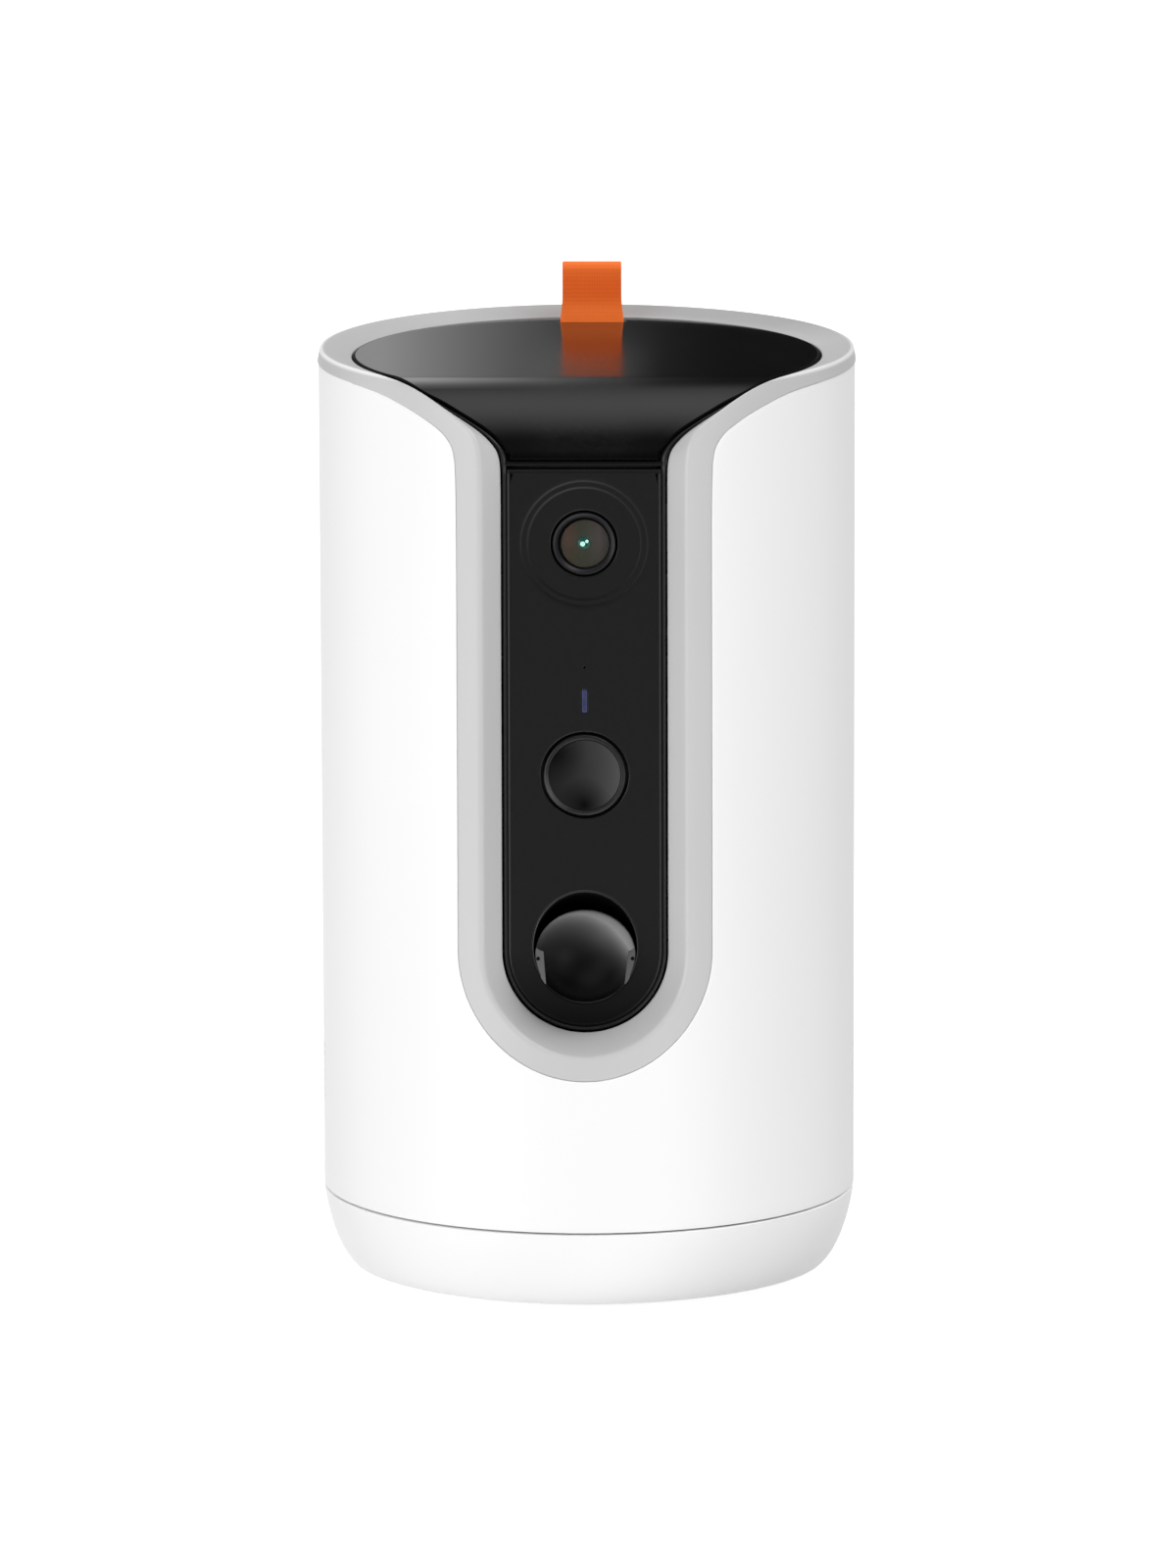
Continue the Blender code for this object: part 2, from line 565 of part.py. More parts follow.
wheel = lathe(
    "dispensing_wheel",
    [(0, 127.7), (2.8, 127.7), (2.8, WHEEL_LOW), (WHEEL_R, WHEEL_LOW), (WHEEL_R, WHEEL_TOP - 1), (WHEEL_R - 1, WHEEL_TOP), (9, WHEEL_TOP), (5, WHEEL_TOP + 7), (0, WHEEL_TOP + 9)],
    DARK, seg=48, centre=(0, WELL_Y, 0), origin=(0, WELL_Y, WHEEL_LOW),
)
pockets = []
for i in range(POCKETS):
    a = -math.pi / 2 + 2 * math.pi * i / POCKETS
    pockets.append(
        cyl_bm((POCKET_AT * math.cos(a), WELL_Y + POCKET_AT * math.sin(a), 0), (0, 0, 1), POCKET_R - 0.4, WHEEL_LOW - 1, WHEEL_TOP + 1, 18)
    )
boolean(wheel, several(*pockets))
lathe(
    "wheel_motor",
    [(0, 102.5), (7.9, 102.5), (7.9, 124.6), (3.4, 124.6), (3.4, 127.4), (0, 127.4)],
    STEEL, seg=24, centre=(0, WELL_Y, 0),
)

# ---------------------------------------------------------------- launch housing, paddle and its motor
house = box("launch_housing", (-15.8, 15.8, -21.8, 27.8, 52.2, 99.8), DARK)
boolean(house, several(
    box_bm(-15.8, 15.8, -18.8, 7.6, 99.0, 127.6),
), "UNION")
boolean(house, several(
    box_bm(-15.8, -9.8, -21.8, -15.8, 23.7, 53.0), box_bm(9.8, 15.8, -21.8, -15.8, 23.7, 53.0),
    box_bm(-15.8, -9.8, 21.8, 27.8, 23.7, 53.0), box_bm(9.8, 15.8, 21.8, 27.8, 23.7, 53.0),
), "UNION")
boolean(house, box_bm(-14, 14, -20, 26, 54, 98))
boolean(house, box_bm(-14, 14, -17, 6, 97, 130))
boolean(house, cyl_bm(mouth, tube_dir, TUBE_R, 20, 45, 32))
boolean(house, cyl_bm((0, PADDLE_Y, PADDLE_Z), (1, 0, 0), 2.3, -20, 20, 12))

paddle = finish_mesh("throw_paddle", cyl_bm((0, PADDLE_Y, PADDLE_Z), (1, 0, 0), 3.6, -13.4, 13.4, 20), ALU, origin=(0, PADDLE_Y, PADDLE_Z))
boolean(paddle, box_bm(-12.0, 12.0, PADDLE_Y - 1.4, PADDLE_Y + 1.4, 58.0, PADDLE_Z), "UNION")
boolean(paddle, cyl_bm((0, PADDLE_Y, PADDLE_Z), (1, 0, 0), 2.0, -15.6, 17.0, 16), "UNION")
lathe(
    "throw_motor", [(0, 17.3), (3, 17.3), (3, 18.5), (8.5, 18.5), (8.5, 41), (0, 41)],
    STEEL, seg=24, centre=(0, PADDLE_Y, PADDLE_Z), axis=(1, 0, 0),
)

# ---------------------------------------------------------------- inner carrier
deck = lathe("inner_carrier", [(60.9, 16.5), (60.9, 23.4), (12, 23.4), (12, 20.9), (58.9, 20.9), (58.9, 16.5)], DARK, seg=48)
posts = [cyl_bm((sx * 46, sy, 0), (0, 0, 1), 3.6, 22.5, BIN_LOW - GAP, 12) for sx in (-1, 1) for sy in (-24, 24)]
boolean(deck, several(*posts), "UNION")
ribs = [box_bm(sx * 23.2 - 1.6, sx * 23.2 + 1.6, -50.0, -44.0, 22.5, 203.0) for sx in (-1, 1)]
boolean(deck, several(*ribs), "UNION")
boolean(deck, several(
    box_bm(-24.5, 24.5, -36.8, -34.6, 176.0, 181.0), box_bm(-24.5, 24.5, -36.8, -34.6, 193.0, 198.0),
    box_bm(-24.5, 24.5, -41.8, -39.6, 119.0, 123.0), box_bm(-24.5, 24.5, -41.8, -39.6, 157.0, 161.0),
), "UNION")
boolean(deck, several(*[
    box_bm(sx * 23.2 - 1.6, sx * 23.2 + 1.6, -45.0, y, z0, z1)
    for sx in (-1, 1) for y, z0, z1 in ((-34.6, 175.0, 182.0), (-34.6, 192.0, 199.0), (-39.6, 118.0, 124.0), (-39.6, 156.0, 162.0))
]), "UNION")

# ---------------------------------------------------------------- speaker
boolean(
    box("speaker_bracket", (-21, 21, 47.5, 49.5, 23.7, 70.0), DARK),
    cyl_bm((0, 0, 47.0), (0, 1, 0), 12.5, 40, 60, 24),
)
lathe(
    "speaker", [(0, 53.5), (6, 52.5), (15.8, 57.2), (17.2, 57.2), (17.2, 49.8), (12, 49.8), (12, 44.0), (0, 44.0)][::-1],
    CHIP, seg=32, centre=(0, 0, 47.0), axis=Y,
)

# ---------------------------------------------------------------- base cup, cover, foot ring
def cup_r(z):
    t = min(max(z / 20.35, 0.0), 1.0)
    return CUP_FOOT_R + (CUP_TOP_R - CUP_FOOT_R) * (1 - (1 - t) ** CUP_M) ** (1 / CUP_N)


levels = [CUP_TOP] + [CUP_LOW + (CUP_TOP - CUP_LOW) * k**1.7 for k in (0.82, 0.62, 0.45, 0.3, 0.17, 0.07, 0.0)]
outer = [(cup_r(z) if z > CUP_LOW + 1e-6 else CUP_FOOT_R + 0.2, z) for z in levels]
inner = [(min(cup_r(z), cup_r(z + 2.0)) - CUP_WALL, z) for z in (5.2, 7.5, 11.0, 15.0, CUP_TOP)]
under = [(50.2, CUP_LOW), (50.2, 2.3), (43.6, 2.3), (43.6, CUP_LOW), (40.2, CUP_LOW), (40.2, 3.0), (35.0, 3.0), (35.0, 5.0), (50.0, 5.0)]
cup = lathe("base_cup", outer + under + inner, WHITE, seg=60)
boss_at = [math.radians(a) for a in (30, 150, 270)]
boolean(cup, several(*[cyl_bm((41 * math.cos(a), 41 * math.sin(a), 0), (0, 0, 1), 3.2, 4.2, 8.2, 12) for a in boss_at]), "UNION")
screw_at = [math.radians(a) for a in (45, 135, 225, 315)]
boolean(cup, several(
    *[cyl_bm((41 * math.cos(a), 41 * math.sin(a), 0), (0, 0, 1), 1.5, 5.6, 12, 10) for a in boss_at],
    *[cyl_bm((37.4 * math.cos(a), 37.4 * math.sin(a), 0), (0, 0, 1), 1.6, 1, 12, 10) for a in screw_at],
))
boolean(cup, several(box_bm(-5.4, 5.4, 50, 80, 9.9, 14.3), cyl_bm((14, 0, 12), Y, 2.0, 50, 80, 16)))
plate = lathe("base_cover", [(0, 2.7), (0, CUP_LOW), (39.8, CUP_LOW), (39.8, 2.7)], DARK, seg=48)
boolean(plate, several(
    *[cyl_bm((37.4 * math.cos(a), 37.4 * math.sin(a), 0), (0, 0, 1), 1.6, 0, 12, 10) for a in screw_at],
))
lathe("foot_ring", [(49.9, 0), (49.9, 2.0), (43.9, 2.0), (43.9, 0)], RUBBER, seg=60)
for k, a in enumerate(screw_at):
    lathe(
        f"base_screw_{k + 1}", [(0, 0.25), (1.8, 0.25), (2.1, 0.5), (1.3, 0.78), (1.3, 6.0), (0, 6.6)],
        STEEL, seg=10, centre=(37.4 * math.cos(a), 37.4 * math.sin(a), 0),
    )

# ---------------------------------------------------------------- electronics in the base
main_board = lathe("main_board", [(0, 8.5), (45.5, 8.5), (45.5, 10.0), (0, 10.0)], GREEN, seg=40)
boolean(main_board, several(*[cyl_bm((41 * math.cos(a), 41 * math.sin(a), 0), (0, 0, 1), 1.6, 5, 12, 10) for a in boss_at]))
for k, a in enumerate(boss_at):
    lathe(
        f"board_screw_{k + 1}", [(0, 12.0), (0, 6.2), (1.2, 6.2), (1.2, 10.3), (2.5, 10.3), (2.5, 11.4), (1.8, 12.0)][::-1],
        STEEL, seg=10, centre=(41 * math.cos(a), 41 * math.sin(a), 0),
    )
box("processor", (-19, -5, -7, 7, 10.3, 12.0), CHIP)
sink = box("heat_sink", (-20, -4, -8, 8, 12.3, 19.4), ALU)
boolean(sink, several(*[box_bm(-18.4 + 3.2 * k, -16.8 + 3.2 * k, -20, 20, 13.8, 25) for k in range(5)]))
box("wifi_module", (10, 26, -26, -12, 10.3, 13.0), ALU)
inlet = box("power_inlet", (-4.5, 4.5, 38.0, 60.4, 10.4, 13.8), STEEL)
boolean(inlet, box_bm(-4.1, 4.1, 53.0, 70, 10.8, 13.4))
box("power_board", (-16, 16, 22, 37, 10.3, 11.6), GREEN)
lathe(
    "reset_button", [(0, 61.0), (1.4, 61.0), (1.7, 60.7), (1.7, 56.0), (2.9, 56.0), (2.9, 55.0), (1.0, 55.0), (1.0, 50.5), (0, 50.5)][::-1],
    DARK, seg=16, centre=(14, 0, 12), axis=Y, origin=(14, 60, 12),
)
box("reset_switch", (11.5, 16.5, 45.0, 49.2, 10.4, 14.0), CHIP)
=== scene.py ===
import math

import bmesh
import bpy
import numpy as np
from mathutils import Matrix, Vector
from mathutils.geometry import delaunay_2d_cdt


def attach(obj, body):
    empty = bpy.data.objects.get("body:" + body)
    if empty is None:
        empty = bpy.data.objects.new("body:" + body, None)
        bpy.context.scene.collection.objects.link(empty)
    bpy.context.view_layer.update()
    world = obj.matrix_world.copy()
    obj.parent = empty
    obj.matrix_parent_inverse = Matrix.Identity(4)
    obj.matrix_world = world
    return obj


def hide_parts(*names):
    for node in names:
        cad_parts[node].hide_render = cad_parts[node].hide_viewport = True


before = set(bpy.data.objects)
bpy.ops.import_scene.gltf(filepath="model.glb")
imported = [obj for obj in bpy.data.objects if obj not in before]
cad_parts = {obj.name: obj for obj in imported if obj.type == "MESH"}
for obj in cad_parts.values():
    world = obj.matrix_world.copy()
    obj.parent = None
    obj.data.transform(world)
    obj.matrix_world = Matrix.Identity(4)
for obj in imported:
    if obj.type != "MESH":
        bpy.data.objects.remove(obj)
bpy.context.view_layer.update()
scene = bpy.context.scene
MM = 0.001
HOUSING, LID, FLAP, BUTTON, RESET, WHEEL = (
    "housing", "lid", "outlet_flap", "call_button", "reset_button", "dispensing_wheel",
)

# ---------------------------------------------------------------- camera, as the photograph was taken
AIM = Vector((0.0, 0.0, 0.11795))
DISTANCE, ELEVATION, AZIMUTH, ROLL = 4.21947, math.radians(10.665), math.radians(0.8), math.radians(-0.17)
eye = AIM + DISTANCE * Vector(
    (math.sin(AZIMUTH) * math.cos(ELEVATION), -math.cos(AZIMUTH) * math.cos(ELEVATION), math.sin(ELEVATION))
)
lens = bpy.data.cameras.new("camera")
lens.lens, lens.sensor_width, lens.sensor_fit = 400.0, 36.0, "AUTO"
lens.clip_start, lens.clip_end = 0.1, 100.0
camera = bpy.data.objects.new("camera", lens)
camera.rotation_mode = "QUATERNION"
camera.location = eye
camera.rotation_quaternion = (AIM - eye).to_track_quat("-Z", "Y") @ Matrix.Rotation(ROLL, 3, "Z").to_quaternion()
scene.collection.objects.link(camera)
scene.camera = camera
scene.view_settings.view_transform = "Standard"
scene.view_settings.look = "None"


# ---------------------------------------------------------------- materials
def shader_tree(name):
    mat = bpy.data.materials.new(name)
    mat.use_nodes = True
    return mat, mat.node_tree.nodes, mat.node_tree.links, mat.node_tree.nodes["Principled BSDF"]


def noise(nodes, links, scale, detail=2.0, rough=0.5, stretch=(1, 1, 1)):
    coords = nodes.new("ShaderNodeTexCoord")
    place = nodes.new("ShaderNodeMapping")
    place.inputs["Scale"].default_value = stretch
    tex = nodes.new("ShaderNodeTexNoise")
    tex.inputs["Scale"].default_value = scale
    tex.inputs["Detail"].default_value = detail
    tex.inputs["Roughness"].default_value = rough
    links.new(coords.outputs["Object"], place.inputs["Vector"])
    links.new(place.outputs["Vector"], tex.inputs["Vector"])
    return tex.outputs["Fac"]


def spread(nodes, links, source, low, high, at=(0.3, 0.7)):
    span = nodes.new("ShaderNodeMapRange")
    span.inputs["From Min"].default_value, span.inputs["From Max"].default_value = at
    span.inputs["To Min"].default_value, span.inputs["To Max"].default_value = low, high
    links.new(source, span.inputs["Value"])
    return span.outputs["Result"]


def two_tone(nodes, links, source, one, two):
    mix = nodes.new("ShaderNodeMix")
    mix.data_type = "RGBA"
    mix.inputs[6].default_value = (*one, 1.0)
    mix.inputs[7].default_value = (*two, 1.0)
    links.new(source, mix.inputs[0])
    return mix.outputs[2]


def moulded(name, colour, rough, level=0.5, metal=0.0, coat=0.0, coat_rough=0.08, tint=0.03,
            patch=30.0, grain=2200.0, depth=4e-6, gloss=0.05, stretch=(1, 1, 1)):
    """Moulded plastic, rubber or metal: a slow drift of tone, a fine grain in the gloss and in the height."""
    mat, nodes, links, shader = shader_tree(name)
    shader.inputs["Metallic"].default_value = metal
    shader.inputs["Specular IOR Level"].default_value = level
    shader.inputs["Coat Weight"].default_value = coat
    shader.inputs["Coat Roughness"].default_value = coat_rough
    drift = noise(nodes, links, patch, 3.0)
    low = tuple(c * (1 - tint) for c in colour)
    high = tuple(min(c * (1 + tint), 1.0) for c in colour)
    links.new(two_tone(nodes, links, spread(nodes, links, drift, 0.0, 1.0), low, high), shader.inputs["Base Color"])
    fine = noise(nodes, links, grain, 2.0, 0.55, stretch)
    links.new(
        spread(nodes, links, fine, max(rough - gloss, 0.02), min(rough + gloss, 1.0)), shader.inputs["Roughness"]
    )
    bump = nodes.new("ShaderNodeBump")
    bump.inputs["Strength"].default_value = 1.0
    bump.inputs["Distance"].default_value = depth
    links.new(fine, bump.inputs["Height"])
    links.new(bump.outputs["Normal"], shader.inputs["Normal"])
    return mat


WHITE = moulded("white_plastic", (0.86, 0.86, 0.86), 0.42, level=0.4, tint=0.006, patch=14.0, grain=3200.0, depth=2.5e-6)
BORDER = moulded("border_black", (0.0060, 0.0060, 0.0063), 0.42, level=0.5, tint=0.1, patch=60.0, grain=5200.0, depth=1.5e-6)
TUBE = moulded("tube_black", (0.0022, 0.0022, 0.0022), 0.6, level=0.08, tint=0.2, patch=80.0, grain=3000.0, depth=4e-6)
GLOSS = moulded("black_gloss", (0.0020, 0.0020, 0.0024), 0.075, tint=0.1, patch=50.0, grain=900.0, depth=6e-8, gloss=0.012)
LIP = moulded("lip_grey", (0.014, 0.014, 0.0144), 0.4, tint=0.08, patch=60.0, grain=4200.0, depth=2e-6)
CHEEK = moulded("flap_cheek", (0.088, 0.088, 0.090), 0.45, level=0.5, tint=0.08, patch=120.0, grain=4200.0, depth=3e-6)
BARREL = moulded("barrel_dark", (0.0085, 0.0078, 0.0100), 0.42, level=0.3, tint=0.1, patch=200.0, grain=6000.0, depth=1.5e-6)
BAR = moulded("bar_black", (0.0024, 0.0024, 0.0025), 0.45, level=0.14, tint=0.1, patch=60.0, grain=5200.0, depth=1.5e-6)
LID_EDGE = moulded("lid_edge_black", (0.0024, 0.0024, 0.0026), 0.5, level=0.03, tint=0.1, patch=60.0, grain=5200.0, depth=1.5e-6)
DARK = moulded("dark_plastic", (0.045, 0.045, 0.05), 0.5, tint=0.08, patch=60.0, grain=2400.0, depth=8e-6)
SMOKE = moulded("smoke_plastic", (0.30, 0.30, 0.315), 0.32, tint=0.03, patch=25.0, grain=1400.0, depth=3e-6)
CHIP = moulded("chip_black", (0.014, 0.014, 0.015), 0.55, tint=0.15, patch=300.0, grain=5000.0, depth=6e-6)
STEEL = moulded("steel", (0.56, 0.56, 0.575), 0.3, metal=1.0, tint=0.05, patch=90.0, grain=1500.0, depth=3e-6, gloss=0.1, stretch=(1, 1, 0.08))
ALU = moulded("aluminium", (0.72, 0.72, 0.735), 0.42, metal=1.0, tint=0.05, patch=90.0, grain=1400.0, depth=3e-6, gloss=0.08, stretch=(1, 0.1, 1))
RUBBER = moulded("rubber", (0.035, 0.035, 0.036), 0.78, level=0.35, tint=0.12, patch=120.0, grain=1600.0, depth=2.5e-5)
SILICONE = moulded("silicone", (0.52, 0.52, 0.53), 0.6, level=0.4, tint=0.04, patch=60.0, grain=1500.0, depth=8e-6)


def fading_gloss(mat, low, high, at):
    """Lets the gloss of a material fall off towards its lower edge."""
    nodes, links = mat.node_tree.nodes, mat.node_tree.links
    coords = nodes.new("ShaderNodeTexCoord")
    split = nodes.new("ShaderNodeSeparateXYZ")
    links.new(coords.outputs["Object"], split.inputs[0])
    links.new(spread(nodes, links, split.outputs["Z"], low, high, at), nodes["Principled BSDF"].inputs["Specular IOR Level"])


def softening_gloss(mat, most, at, band):
    """Lets a gloss turn softer along the middle towards the front: its own roughness at the back, up to `most` times it."""
    nodes, links = mat.node_tree.nodes, mat.node_tree.links
    rough = nodes["Principled BSDF"].inputs["Roughness"]
    own = rough.links[0].from_socket
    coords = nodes.new("ShaderNodeTexCoord")
    split = nodes.new("ShaderNodeSeparateXYZ")
    links.new(coords.outputs["Object"], split.inputs[0])
    aside = nodes.new("ShaderNodeMath")
    aside.operation = "ABSOLUTE"
    links.new(split.outputs["X"], aside.inputs[0])
    gain = nodes.new("ShaderNodeMath")
    gain.operation = "MULTIPLY"
    links.new(spread(nodes, links, split.outputs["Y"], 0.0, most - 1.0, at), gain.inputs[0])
    links.new(spread(nodes, links, aside.outputs[0], 1.0, 0.0, band), gain.inputs[1])
    grown = nodes.new("ShaderNodeMath")
    grown.operation = "MULTIPLY_ADD"
    links.new(own, grown.inputs[0])
    links.new(gain.outputs[0], grown.inputs[1])
    links.new(own, grown.inputs[2])
    links.new(grown.outputs[0], rough)


fading_gloss(GLOSS, 0.05, 0.75, (0.2072, 0.2092))
softening_gloss(GLOSS, 2.9, (0.048, -0.008), (0.009, 0.019))


def rim_material():
    """The grey plastic of the collar, with a painted highlight along the front of its rim's crest and painted shade on
    top at the back right.
    """
    mat = moulded("grey_plastic", (0.53, 0.53, 0.53), 0.40, level=0.5, tint=0.012, patch=22.0, grain=2600.0, depth=3e-6)
    nodes, links = mat.node_tree.nodes, mat.node_tree.links
    shader = nodes["Principled BSDF"]
    plain = shader.inputs["Base Color"].links[0].from_socket
    coords = nodes.new("ShaderNodeTexCoord")
    split = nodes.new("ShaderNodeSeparateXYZ")
    links.new(coords.outputs["Object"], split.inputs[0])
    level = nodes.new("ShaderNodeCombineXYZ")
    links.new(split.outputs["X"], level.inputs[0])
    links.new(split.outputs["Y"], level.inputs[1])
    reach = nodes.new("ShaderNodeVectorMath")
    reach.operation = "LENGTH"
    links.new(level.outputs[0], reach.inputs[0])
    # painted highlight: paler along the front of the crest; painted shade: darker on top at the back right
    crest = ((reach.outputs["Value"], (0.0633, 0.0640)), (split.outputs["Z"], (0.2243, 0.2250)), (split.outputs["Y"], (0.040, 0.005)))
    painted_shade_patch = ((split.outputs["X"], (-0.034, -0.006)), (split.outputs["Z"], (0.2225, 0.2240)), (split.outputs["Y"], (0.015, 0.040)))
    for ramps, tone in ((crest, 0.82), (painted_shade_patch, 0.395)):
        share = None
        for source, at in ramps:
            part = spread(nodes, links, source, 0.0, 1.0, at)
            if share is None:
                share = part
                continue
            both = nodes.new("ShaderNodeMath")
            both.operation = "MULTIPLY"
            links.new(share, both.inputs[0])
            links.new(part, both.inputs[1])
            share = both.outputs[0]
        mix = nodes.new("ShaderNodeMix")
        mix.data_type = "RGBA"
        links.new(share, mix.inputs[0])
        links.new(plain, mix.inputs[6])
        mix.inputs[7].default_value = (tone, tone, tone, 1.0)
        plain = mix.outputs[2]
    links.new(plain, shader.inputs["Base Color"])
    return mat


GREY = rim_material()


def satin_painted_light(name, tone, source, slope, rough, level, bow=0.0, most=1.0, painted_spots=()):
    """Satin black with painted light: its tone swells along one direction, of the place or of the surface's own tilt,
    and round patches paint shade with a gain below one or a highlight with a gain above one.
    """
    mat, nodes, links, shader = shader_tree(name)
    coords = nodes.new("ShaderNodeTexCoord")
    along = nodes.new("ShaderNodeVectorMath")
    along.operation = "DOT_PRODUCT"
    along.inputs[1].default_value = slope
    links.new(coords.outputs[source], along.inputs[0])

    def maths(operation, one, two):
        node = nodes.new("ShaderNodeMath")
        node.operation = operation
        for socket, value in zip(node.inputs, (one, two)):
            if isinstance(value, float):
                socket.default_value = value
            else:
                links.new(value, socket)
        return node.outputs[0]

    split = nodes.new("ShaderNodeSeparateXYZ")
    links.new(coords.outputs[source], split.inputs[0])
    square = maths("MULTIPLY", split.outputs["Z"], split.outputs["Z"])
    share = maths("POWER", math.e, maths("ADD", along.outputs["Value"], maths("MULTIPLY", square, bow)))
    # painted light: each patch darkens the tone as painted shade, or with a gain above one brightens it as a painted
    # highlight
    for spot, radius, low in painted_spots:
        away = nodes.new("ShaderNodeVectorMath")
        away.operation = "DISTANCE"
        away.inputs[1].default_value = spot
        links.new(coords.outputs["Object"], away.inputs[0])
        share = maths("MULTIPLY", share, spread(nodes, links, away.outputs["Value"], low, 1.0, (0.0, radius)))
    grain = noise(nodes, links, 60.0, 2.0)
    colour = nodes.new("ShaderNodeCombineXYZ")
    value = maths("MULTIPLY", maths("MINIMUM", maths("MULTIPLY", share, tone), most), spread(nodes, links, grain, 0.96, 1.04))
    for k in range(3):
        links.new(value, colour.inputs[k])
    links.new(colour.outputs[0], shader.inputs["Base Color"])
    shader.inputs["Specular IOR Level"].default_value = level
    fine = noise(nodes, links, 5200.0, 2.0, 0.55)
    links.new(spread(nodes, links, fine, rough - 0.05, rough + 0.05), shader.inputs["Roughness"])
    bump = nodes.new("ShaderNodeBump")
    bump.inputs["Distance"].default_value = 1.5e-6
    links.new(fine, bump.inputs["Height"])
    links.new(bump.outputs["Normal"], shader.inputs["Normal"])
    return mat


# Button: painted light, the dish paler towards the right, with painted shade at its upper left and at its bottom
KEY = satin_painted_light("button_black", 0.0310, "Object", (98.0, 0.0, 0.0), 0.34, 0.02,
            painted_spots=(((-0.0071, -0.0536, 0.1356), 0.0078, 0.05), ((-0.0001, -0.0540, 0.1230), 0.0068, 0.10)))
# Bezel: a painted highlight at its lower left and painted shade at its upper left
BEZEL = satin_painted_light("bezel_black", 0.0105, "Object", (0.0, 0.0, 0.0), 0.40, 0.3,
              painted_spots=(((-0.0078, -0.0540, 0.1262), 0.0060, 6.0), ((-0.0080, -0.0540, 0.1350), 0.0055, 0.10)))
# Flap: painted light by its own tilt, paler towards the top and the right of its rim, near black at the lower left
DOME = satin_painted_light("flap_black", 0.2165, "Normal", (1.66, 4.19, 3.60), 0.42, 0.06, bow=-2.3, most=0.30)


def panel_material():
    """Satin black, deeper and less glossy towards the foot of the panel: painted shade."""
    mat, nodes, links, shader = shader_tree("panel_black")
    coords = nodes.new("ShaderNodeTexCoord")
    split = nodes.new("ShaderNodeSeparateXYZ")
    links.new(coords.outputs["Object"], split.inputs[0])
    # painted shade: colour and gloss fall off towards the foot
    up = spread(nodes, links, split.outputs["Z"], 0.0, 1.0, (0.063, 0.088))
    links.new(two_tone(nodes, links, up, (0.0008, 0.0008, 0.0009), (0.0034, 0.0034, 0.0037)), shader.inputs["Base Color"])
    links.new(spread(nodes, links, up, 0.05, 0.38, (0.0, 1.0)), shader.inputs["Specular IOR Level"])
    fine = noise(nodes, links, 5200.0, 2.0, 0.55)
    links.new(spread(nodes, links, fine, 0.29, 0.39), shader.inputs["Roughness"])
    bump = nodes.new("ShaderNodeBump")
    bump.inputs["Distance"].default_value = 1.5e-6
    links.new(fine, bump.inputs["Height"])
    links.new(bump.outputs["Normal"], shader.inputs["Normal"])
    return mat


PANEL = panel_material()


def board_material():
    """Green circuit board with a pale net of tracks."""
    mat, nodes, links, shader = shader_tree("circuit_board")
    cells = nodes.new("ShaderNodeTexVoronoi")
    cells.distance = "CHEBYCHEV"
    cells.feature = "DISTANCE_TO_EDGE"
    cells.inputs["Scale"].default_value = 420.0
    coords = nodes.new("ShaderNodeTexCoord")
    links.new(coords.outputs["Object"], cells.inputs["Vector"])
    line = spread(nodes, links, cells.outputs["Distance"], 1.0, 0.0, (0.03, 0.09))
    links.new(two_tone(nodes, links, line, (0.008, 0.085, 0.035), (0.03, 0.19, 0.08)), shader.inputs["Base Color"])
    links.new(spread(nodes, links, cells.outputs["Distance"], 0.28, 0.42, (0.03, 0.09)), shader.inputs["Roughness"])
    bump = nodes.new("ShaderNodeBump")
    bump.inputs["Distance"].default_value = 3e-5
    links.new(line, bump.inputs["Height"])
    links.new(bump.outputs["Normal"], shader.inputs["Normal"])
    return mat


BOARD = board_material()


